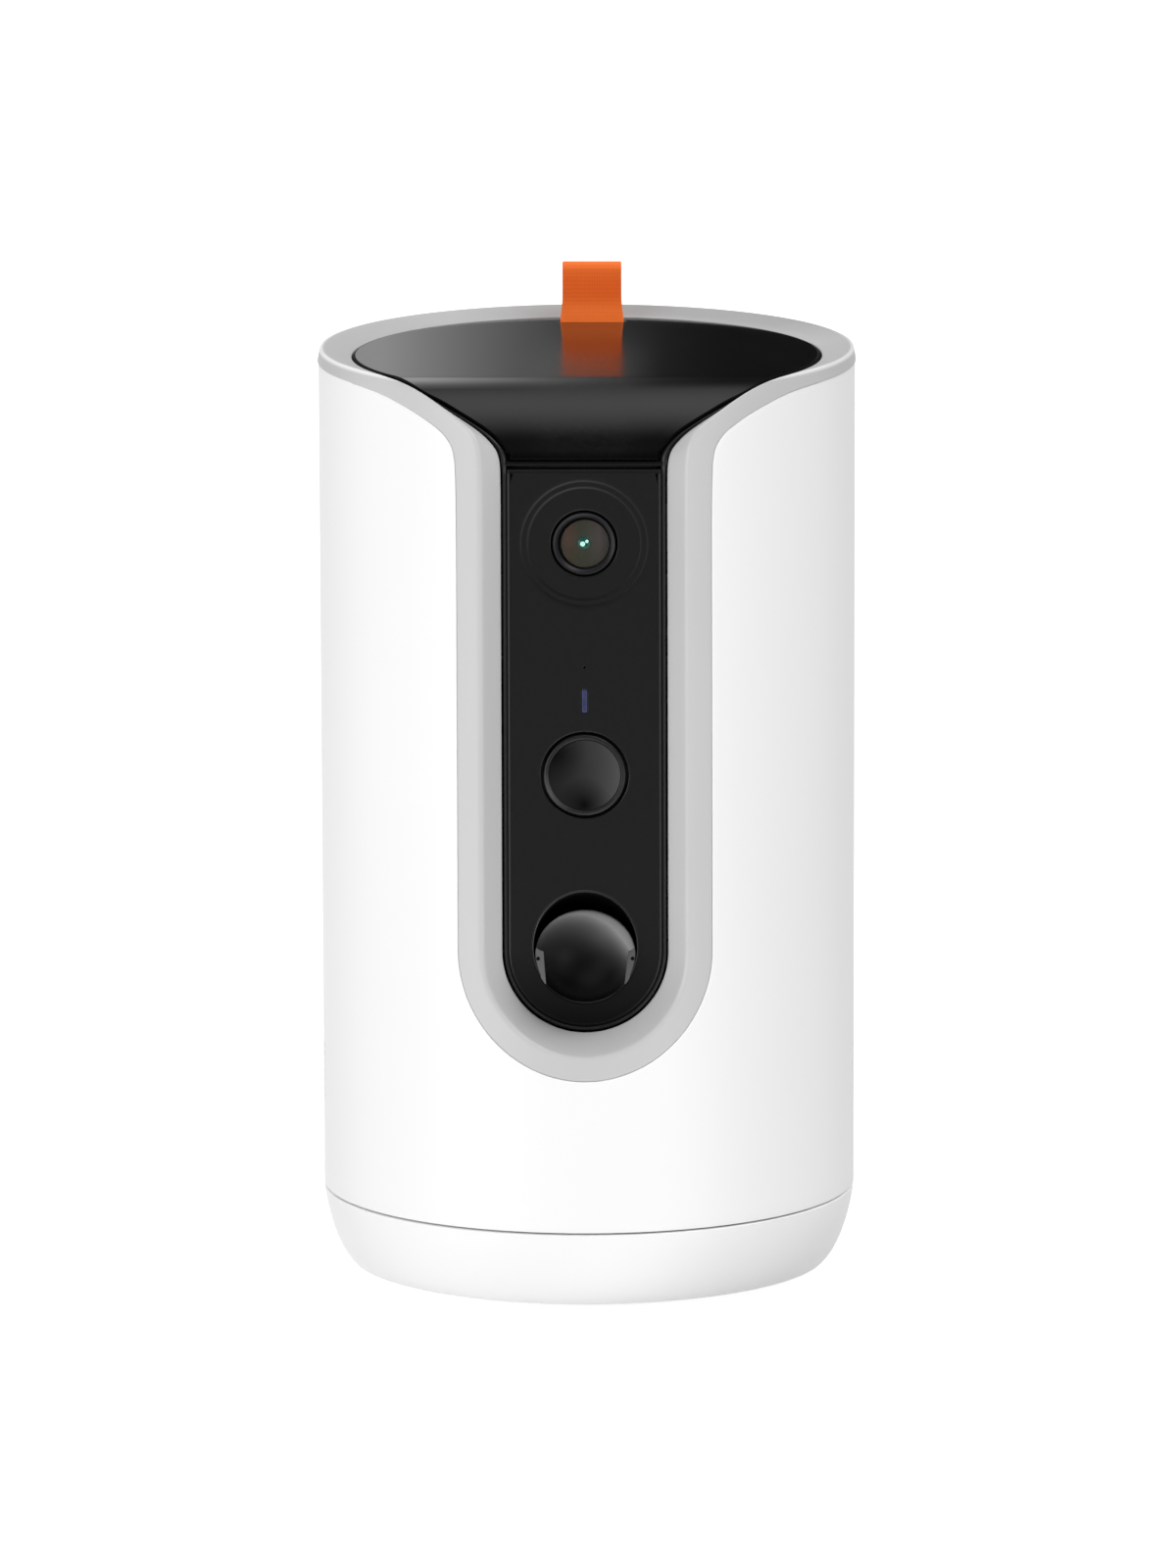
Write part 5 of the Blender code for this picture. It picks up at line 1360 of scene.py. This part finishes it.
def make_shield():
    """Curved shield under the lid's nose: it closes the space between the hopper and the black front."""
    outline = lid_outline()[:70]
    reach, half = outline[::-1, 1], outline[::-1, 0]
    end = NOSE_S[-1]
    spine = [(nose_point(s), float(np.interp(s, reach, half)) + 0.25) for s in np.linspace(-1.5, end, 46)]
    columns = np.linspace(-1, 1, 25)
    upper, lower = [], []
    for (y, z, ny, nz), wide in spine:
        upper.append([(wide * u, y - ny * 3.3, z - nz * 3.3) for u in columns])
        lower.append([(wide * u, y - ny * 4.5, z - nz * 4.5) for u in columns])
    for z in (206.0, 205.0, 204.2, 203.7):
        wide = spine[-1][1]
        upper.append([(wide * u, -51.6, z) for u in columns])
        lower.append([(wide * u, -50.4, z) for u in columns])
    upper[-1] = [(x, y + 0.2, z - 0.0) for x, y, z in upper[-1]]
    n, count = len(columns), len(upper)
    verts = [p for row in upper for p in row] + [p for row in lower for p in row]
    faces = []
    for i in range(count - 1):
        for k in range(n - 1):
            a = i * n + k
            faces.append([a, a + 1, a + n + 1, a + n])
            faces.append([count * n + v for v in (a + n, a + n + 1, a + 1, a)])
    edge = [i for i in range(n)] + [i * n + n - 1 for i in range(1, count)]
    edge += [(count - 1) * n + k for k in range(n - 2, -1, -1)] + [i * n for i in range(count - 2, 0, -1)]
    for a, b in zip(edge, edge[1:] + edge[:1]):
        faces.append([b, a, count * n + a, count * n + b])
    piece("front_shield", verts, faces, DARK, HOUSING, slot="dark_plastic")


def disc_outline(r, flat, n=120):
    half = math.asin(-flat / r)
    curve = arc(r, n, -half, math.pi + half)
    line = [(x, flat) for x in np.linspace(curve[-1][0], curve[0][0], 24)[1:-1]]
    return np.array([tuple(p) for p in curve] + line)


def make_lid_inside():
    verts, faces = plate([(disc_outline(51.2, -28.0), fillet_rows(0.6, 6.8, 4, 0.3), False)],
                         lambda p, d, k: [(x, y, 214.0 + d) for x, y in p], 6.0)
    piece("liner", verts, faces, DARK, LID, replaces=("lid_liner",), slot="dark_plastic")
    outer, inner = disc_outline(52.7, -29.5), disc_outline(51.5, -28.3)
    rows = []
    verts = []
    for loop, z in ((inner, 218.4), (outer * 0.996, 218.4), (outer, 218.0), (outer, 217.2), (outer * 0.992, 217.0), (outer, 216.8), (outer, 216.0), (outer * 0.996, 215.6), (inner, 215.6)):
        rows.append(len(verts))
        verts += [(x, y, z) for x, y in loop]
    faces = []
    for a, b in zip(rows, rows[1:] + rows[:1]):
        faces += ring_faces(a, b, len(outer))
    piece("seal", verts, faces, SILICONE, LID, replaces=("lid_seal",), slot="silicone")


# ---------------------------------------------------------------- pull strap
def make_strap():
    """One ribbon folded over: up from the lid's slot, round the top, and down again, pressed together."""
    thick, gap = 0.95, 0.16
    top = 238.0
    line = spline([(50.3, 221.4), (50.2, 223.3), (50.15, 225.6), (50.3, 228.5), (50.55, 231.6), (50.85, 234.2), (51.1, 235.9)], 8)
    front, back = [], []
    for k, p in enumerate(line):
        a, b = line[max(k - 1, 0)], line[min(k + 1, len(line) - 1)]
        t = (b - a) / np.linalg.norm(b - a)
        n = np.array([-t[1], t[0]])          # towards the front
        swell = 0.30 * max(0.0, (k / (len(line) - 1) - 0.55) / 0.45) ** 2
        lean = 0.75 * max(0.0, (228.0 - p[1]) / 5.0) ** 1.5
        front.append(p + n * (gap / 2 + thick / 2 + swell + lean))
        back.append(p - n * (gap / 2 + thick / 2 + swell))
    half = np.linalg.norm(front[-1] - back[-1]) / 2
    mid = (front[-1] + back[-1]) / 2
    side = (front[-1] - back[-1]) / (2 * half)
    up = np.array([side[1], -side[0]])
    up = up if up[1] > 0 else -up
    rise = top - thick / 2 - mid[1]
    bend = [mid + side * half * math.cos(a) + up * rise * math.sin(a) for a in np.linspace(0, math.pi, 18)[1:-1]]
    centre = front + bend + back[::-1]
    width, count = [], len(centre)
    for p in centre:
        flare = max(0.0, (229.5 - p[1]) / 6.0)
        width.append(7.18 + 0.6 * min(flare, 1.0) ** 1.5)
    verts, rows = [], []
    for k, p in enumerate(centre):
        a, b = centre[max(k - 1, 0)], centre[min(k + 1, count - 1)]
        t = (b - a) / np.linalg.norm(b - a)
        n = np.array([-t[1], t[0]])
        hw, r = width[k], 0.3
        loop = []
        for cx, cn, sgn in ((hw - r, thick / 2 - r, 0), (-(hw - r), thick / 2 - r, 90), (-(hw - r), -(thick / 2 - r), 180), (hw - r, -(thick / 2 - r), 270)):
            for d in np.linspace(0, 90, 5):
                ang = math.radians(sgn + d)
                x, o = cx + r * math.cos(ang), cn + r * math.sin(ang)
                q = p + n * o
                loop.append((x + 0.6, q[0], q[1]))
        extra = []
        for i, v in enumerate(loop):
            extra.append(v)
            if i in (4, 14):                 # points along the wide faces keep the shading even
                w = loop[i + 1]
                for s in np.linspace(0, 1, 14)[1:-1]:
                    extra.append(tuple(np.array(v) * (1 - s) + np.array(w) * s))
        rows.append(len(verts))
        verts += extra
    n = len(extra)
    faces = [list(range(n)), list(range(rows[-1], rows[-1] + n))[::-1]]
    for a, b in zip(rows, rows[1:]):
        faces += ring_faces(a, b, n)
    piece("strap", verts, faces, STRAP, LID, replaces=("pull_strap",), slot="strap")


# ---------------------------------------------------------------- what the open lid shows
def make_bin():
    wall = 2.0
    outer, inner = disc_outline(55.0, -32.0, 150), disc_outline(53.0, -30.0, 150)
    rows, verts, faces = [], [], []
    for loop, z in ((inner, 153.4), (inner, 220.1), (inner + (outer - inner) * 0.2, 220.4), (inner + (outer - inner) * 0.8, 220.4), (outer, 220.1), (outer, 150.0)):
        rows.append(len(verts))
        verts += [(x, y, z) for x, y in loop]
    n = len(outer)
    for a, b in zip(rows, rows[1:]):
        faces += ring_faces(a, b, n)
    well_y, seg = 16.0, 150
    # floor between the wall and the well: bridge by angle
    ring_top = [(36.9 * math.cos(a), well_y + 36.9 * math.sin(a)) for a in np.linspace(0, 2 * math.pi, 97)[:-1]]
    ring_low = [(38.0 * math.cos(a), well_y + 38.0 * math.sin(a)) for a in np.linspace(0, 2 * math.pi, 97)[:-1]]

    def floor(loop_pts, start_outer, ring_start, ring):
        every = [Vector(p[:2]) for p in loop_pts] + [Vector(p) for p in ring]
        edges = [(i, (i + 1) % n) for i in range(n)] + [(n + i, n + (i + 1) % len(ring)) for i in range(len(ring))]
        out = delaunay_2d_cdt(every, edges, [], 0, 1e-7)
        known = [o[0] for o in out[3]]
        pos = np.array([[p.x, p.y] for p in out[0]])
        tris = np.array(out[2])
        mid = pos[tris].mean(1)
        ok = inside(mid, np.array([p[:2] for p in loop_pts])) & ~inside(mid, np.array(ring))
        made = []
        for tri in tris[ok]:
            ids = [known[k] for k in tri]
            made.append([start_outer + i if i < n else ring_start + i - n for i in ids])
        return made

    ring_a = len(verts)
    verts += [(x, y, 153.4) for x, y in ring_top]
    faces += floor(inner, rows[0], ring_a, ring_top)
    ring_b = len(verts)
    verts += [(x, y, 150.0) for x, y in ring_low]
    faces += floor(outer, rows[-1], ring_b, ring_low)
    m = 96
    chain = [ring_a]
    for r, z in ((36.3, 152.6), (36.0, 151.8), (36.0, 131.0)):
        chain.append(len(verts))
        verts += [(r * math.cos(a), well_y + r * math.sin(a), z) for a in np.linspace(0, 2 * math.pi, m + 1)[:-1]]
    for a, b in zip(chain, chain[1:]):
        faces += ring_faces(a, b, m)
    low = [ring_b, len(verts)]
    verts += [(38.0 * math.cos(a), well_y + 38.0 * math.sin(a), 128.0) for a in np.linspace(0, 2 * math.pi, m + 1)[:-1]]
    faces += ring_faces(low[0], low[1], m)
    # well floor with the drop hole and the motor shaft's hole
    hole_a = np.array([(10.5 * math.cos(a), -5.0 + 10.5 * math.sin(a)) for a in np.linspace(0, 2 * math.pi, 49)[:-1]])
    hole_b = np.array([(3.1 * math.cos(a), well_y + 3.1 * math.sin(a)) for a in np.linspace(0, 2 * math.pi, 33)[:-1]])
    starts = {}
    for z in (131.0, 128.0):
        for name, hole in (("a", hole_a), ("b", hole_b)):
            starts[name, z] = len(verts)
            verts += [(x, y, z) for x, y in hole]
        border = np.array([(r * math.cos(a), well_y + r * math.sin(a)) for r in ((36.0,) if z == 131.0 else (38.0,)) for a in np.linspace(0, 2 * math.pi, m + 1)[:-1]])
        every = np.concatenate([border, hole_a, hole_b])
        first = chain[-1] if z == 131.0 else low[1]
        ids_of = list(range(first, first + m)) + list(range(starts["a", z], starts["a", z] + 48)) + list(range(starts["b", z], starts["b", z] + 32))
        edges = [(i, (i + 1) % m) for i in range(m)] + [(m + i, m + (i + 1) % 48) for i in range(48)] + [(m + 48 + i, m + 48 + (i + 1) % 32) for i in range(32)]
        out = delaunay_2d_cdt([Vector((float(x), float(y))) for x, y in every], edges, [], 0, 1e-7)
        known = [o[0] for o in out[3]]
        pos = np.array([[p.x, p.y] for p in out[0]])
        tris = np.array(out[2])
        mid = pos[tris].mean(1)
        ok = inside(mid, border) & ~inside(mid, hole_a) & ~inside(mid, hole_b)
        faces += [[ids_of[known[k]] for k in tri] for tri in tris[ok]]
    faces += ring_faces(starts["a", 131.0], starts["a", 128.0], 48) + ring_faces(starts["b", 131.0], starts["b", 128.0], 32)
    piece("hopper", verts, faces, SMOKE, HOUSING, replaces=("treat_bin",), slot="smoke_plastic")


make_collar()
make_shell()
make_base()
make_border()
make_panel()
make_camera_eye()
make_light()
make_button()
make_outlet()
make_flap()
make_lid()
make_shield()
make_lid_inside()
make_strap()
make_bin()

# ---------------------------------------------------------------- finishes of the pieces that stay as they are
FINISH = {
    "board_screw_1": (STEEL, "steel"), "board_screw_2": (STEEL, "steel"), "board_screw_3": (STEEL, "steel"),
    "button_board": (BOARD, "circuit_board"), "camera_board": (BOARD, "circuit_board"), "main_board": (BOARD, "circuit_board"),
    "power_board": (BOARD, "circuit_board"), "button_switch": (CHIP, "chip"), "reset_switch": (CHIP, "chip"),
    "processor": (CHIP, "chip"), "image_sensor": (CHIP, "chip"), "camera_holder": (DARK, "dark_plastic"),
    "dispensing_wheel": (DARK, "dark_plastic"), "drop_guard": (SMOKE, "smoke_plastic"), "heat_sink": (ALU, "aluminium"),
    "infrared_led_left": (SMOKE, "smoke_plastic"), "infrared_led_right": (SMOKE, "smoke_plastic"),
    "inner_carrier": (DARK, "dark_plastic"), "launch_housing": (DARK, "dark_plastic"), "microphone": (STEEL, "steel"),
    "speaker": (CHIP, "chip"), "speaker_bracket": (DARK, "dark_plastic"), "throw_motor": (STEEL, "steel"),
    "throw_paddle": (ALU, "aluminium"), "wheel_motor": (STEEL, "steel"), "wifi_module": (ALU, "aluminium"),
}
for name, (mat, slot_name) in FINISH.items():
    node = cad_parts[name]
    node.data.materials.clear()
    node.data.materials.append(mat)

# ---------------------------------------------------------------- floor and light
def floor_material():
    """Pale seamless floor, lit from within a little like a light table."""
    mat, nodes, links, shader = shader_tree("pale_floor")
    shader.inputs["Roughness"].default_value = 0.9
    shader.inputs["Specular IOR Level"].default_value = 0.0
    tone = two_tone(nodes, links, spread(nodes, links, noise(nodes, links, 3.0), 0.0, 1.0), (0.545, 0.545, 0.545), (0.555, 0.555, 0.555))
    links.new(tone, shader.inputs["Base Color"])
    links.new(tone, shader.inputs["Emission Color"])
    shader.inputs["Emission Strength"].default_value = 1.24
    mat.cycles.emission_sampling = "NONE"
    return mat


def staged(name, verts, mat, faces=((0, 1, 2, 3),)):
    mesh = bpy.data.meshes.new(name)
    mesh.from_pydata(verts, [], [list(face) for face in faces])
    mesh.materials.append(mat)
    obj = bpy.data.objects.new(name, mesh)
    scene.collection.objects.link(obj)
    return obj


size = 14.0
floor = staged("floor", [(-size, -size, 0), (size, -size, 0), (size, size, 0), (-size, size, 0)], floor_material())
floor.visible_diffuse = floor.visible_glossy = floor.visible_shadow = False


def card_material():
    """Reflector card behind the tower: bright at its left end, fading to the right, and dimmer towards its top."""
    mat, nodes, links, shader = shader_tree("card")
    coords = nodes.new("ShaderNodeTexCoord")
    split = nodes.new("ShaderNodeSeparateXYZ")
    links.new(coords.outputs["Object"], split.inputs[0])
    fade = spread(nodes, links, split.outputs["X"], 1.0, 0.0, (-0.0609, 0.0387))
    curve = nodes.new("ShaderNodeMath")
    curve.operation = "POWER"
    curve.inputs[1].default_value = 2.5
    links.new(fade, curve.inputs[0])
    up = spread(nodes, links, split.outputs["Z"], 0.0, 1.0, (0.26, 0.80))

    def ramped(stops):
        ramp = nodes.new("ShaderNodeValToRGB")
        for k, (at, tone) in enumerate(stops):
            stop = ramp.color_ramp.elements[k] if k < 2 else ramp.color_ramp.elements.new((at - 0.26) / 0.54)
            stop.position = (at - 0.26) / 0.54
            stop.color = (tone, tone, tone, 1.0)
        links.new(up, ramp.inputs["Fac"])
        return ramp.outputs["Color"]

    sides = ramped(((0.26, 0.37), (0.335, 0.37), (0.38, 0.75), (0.457, 0.96), (0.527, 0.86), (0.60, 0.60), (0.674, 0.37), (0.754, 0.19), (0.80, 0.13)))
    even = ramped(((0.26, 0.0), (0.50, 0.0), (0.60, 0.06), (0.674, 0.14), (0.754, 0.24), (0.80, 0.28)))
    both = nodes.new("ShaderNodeMath")
    both.operation = "MULTIPLY_ADD"
    links.new(spread(nodes, links, curve.outputs[0], 0.0324, 1.566, (0.0, 1.0)), both.inputs[0])
    links.new(sides, both.inputs[1])
    links.new(even, both.inputs[2])
    glow = nodes.new("ShaderNodeEmission")
    links.new(both.outputs[0], glow.inputs["Strength"])
    links.new(glow.outputs[0], nodes["Material Output"].inputs["Surface"])
    mat.cycles.emission_sampling = "NONE"
    return mat


card = staged("card", [(-0.15, 0.45, 0.26), (0.06, 0.45, 0.26), (0.06, 0.45, 0.80), (-0.15, 0.45, 0.80)], card_material())
card.visible_camera = card.visible_diffuse = card.visible_shadow = False


def toward(azimuth, elevation):
    a, e = math.radians(azimuth), math.radians(elevation)
    return Vector((math.sin(a) * math.cos(e), -math.cos(a) * math.cos(e), math.sin(e)))


def screen_material():
    """Dim screens at both sides, a little paler at their foot: what the gloss of the lid picks up in a side view."""
    mat, nodes, links, shader = shader_tree("screen")
    coords = nodes.new("ShaderNodeTexCoord")
    split = nodes.new("ShaderNodeSeparateXYZ")
    links.new(coords.outputs["Object"], split.inputs[0])
    glow = nodes.new("ShaderNodeEmission")
    links.new(spread(nodes, links, split.outputs["Z"], 0.16, 0.05, (0.25, 0.50)), glow.inputs["Strength"])
    links.new(glow.outputs[0], nodes["Material Output"].inputs["Surface"])
    mat.cycles.emission_sampling = "NONE"
    return mat


def make_screens():
    mat = screen_material()
    for name, first, last in (("screen_left", -16, -125), ("screen_right", 50, 125)):
        verts = []
        for k in range(13):
            way = toward(first + (last - first) * k / 12, 0) * 0.40
            verts += [(way.x, way.y, 0.245), (way.x, way.y, 0.52)]
        screen = staged(name, verts, mat, [(2 * k, 2 * k + 2, 2 * k + 3, 2 * k + 1) for k in range(12)])
        screen.visible_camera = screen.visible_diffuse = screen.visible_shadow = False


make_screens()


def studio_world():
    """Soft studio room: a broad ceiling light, a soft box at the left, weaker ones at the right, and what the pale floor throws back."""
    world = bpy.data.worlds.new("studio")
    scene.world = world
    world.use_nodes = True
    nodes, links = world.node_tree.nodes, world.node_tree.links
    coords = nodes.new("ShaderNodeTexCoord")

    def maths(operation, one, two):
        node = nodes.new("ShaderNodeMath")
        node.operation = operation
        for socket, value in zip(node.inputs, (one, two)):
            if isinstance(value, float):
                socket.default_value = value
            else:
                links.new(value, socket)
        return node.outputs[0]

    total = 0.06
    for direction, start, power, strength in (
        (Vector((0, 0.03, 0.99955)), 0.42, 2.3, 0.78),
        (toward(50, 50), 0.92, 1.0, 4.0),
        (toward(90, 42), 0.85, 1.0, 2.95),
        (toward(-45, 10), 0.90, 1.0, 4.4),
        (toward(-100, 10), 0.90, 1.0, 2.5),
        (toward(-52, -18), 0.85, 1.0, 1.87),
        (toward(-100, -20), 0.90, 1.0, 0.5),
        (toward(15, -47), 0.85, 1.0, 3.0),
        (toward(40, -15), 0.93, 1.0, 2.75),
        (toward(-138, 29), 0.95, 1.0, 4.0),
        (toward(138, 29), 0.95, 1.0, 1.0),
        (toward(180, -25), 0.80, 1.0, 1.3),
    ):
        dot = nodes.new("ShaderNodeVectorMath")
        dot.operation = "DOT_PRODUCT"
        dot.inputs[1].default_value = direction
        links.new(coords.outputs["Generated"], dot.inputs[0])
        shape = maths("POWER", spread(nodes, links, dot.outputs["Value"], 0.0, 1.0, (start, 1.0)), power)
        total = maths("ADD", maths("MULTIPLY", shape, strength), total)
    links.new(total, nodes["Background"].inputs["Strength"])
    nodes["Background"].inputs["Color"].default_value = (1.0, 1.0, 1.0, 1.0)


studio_world()
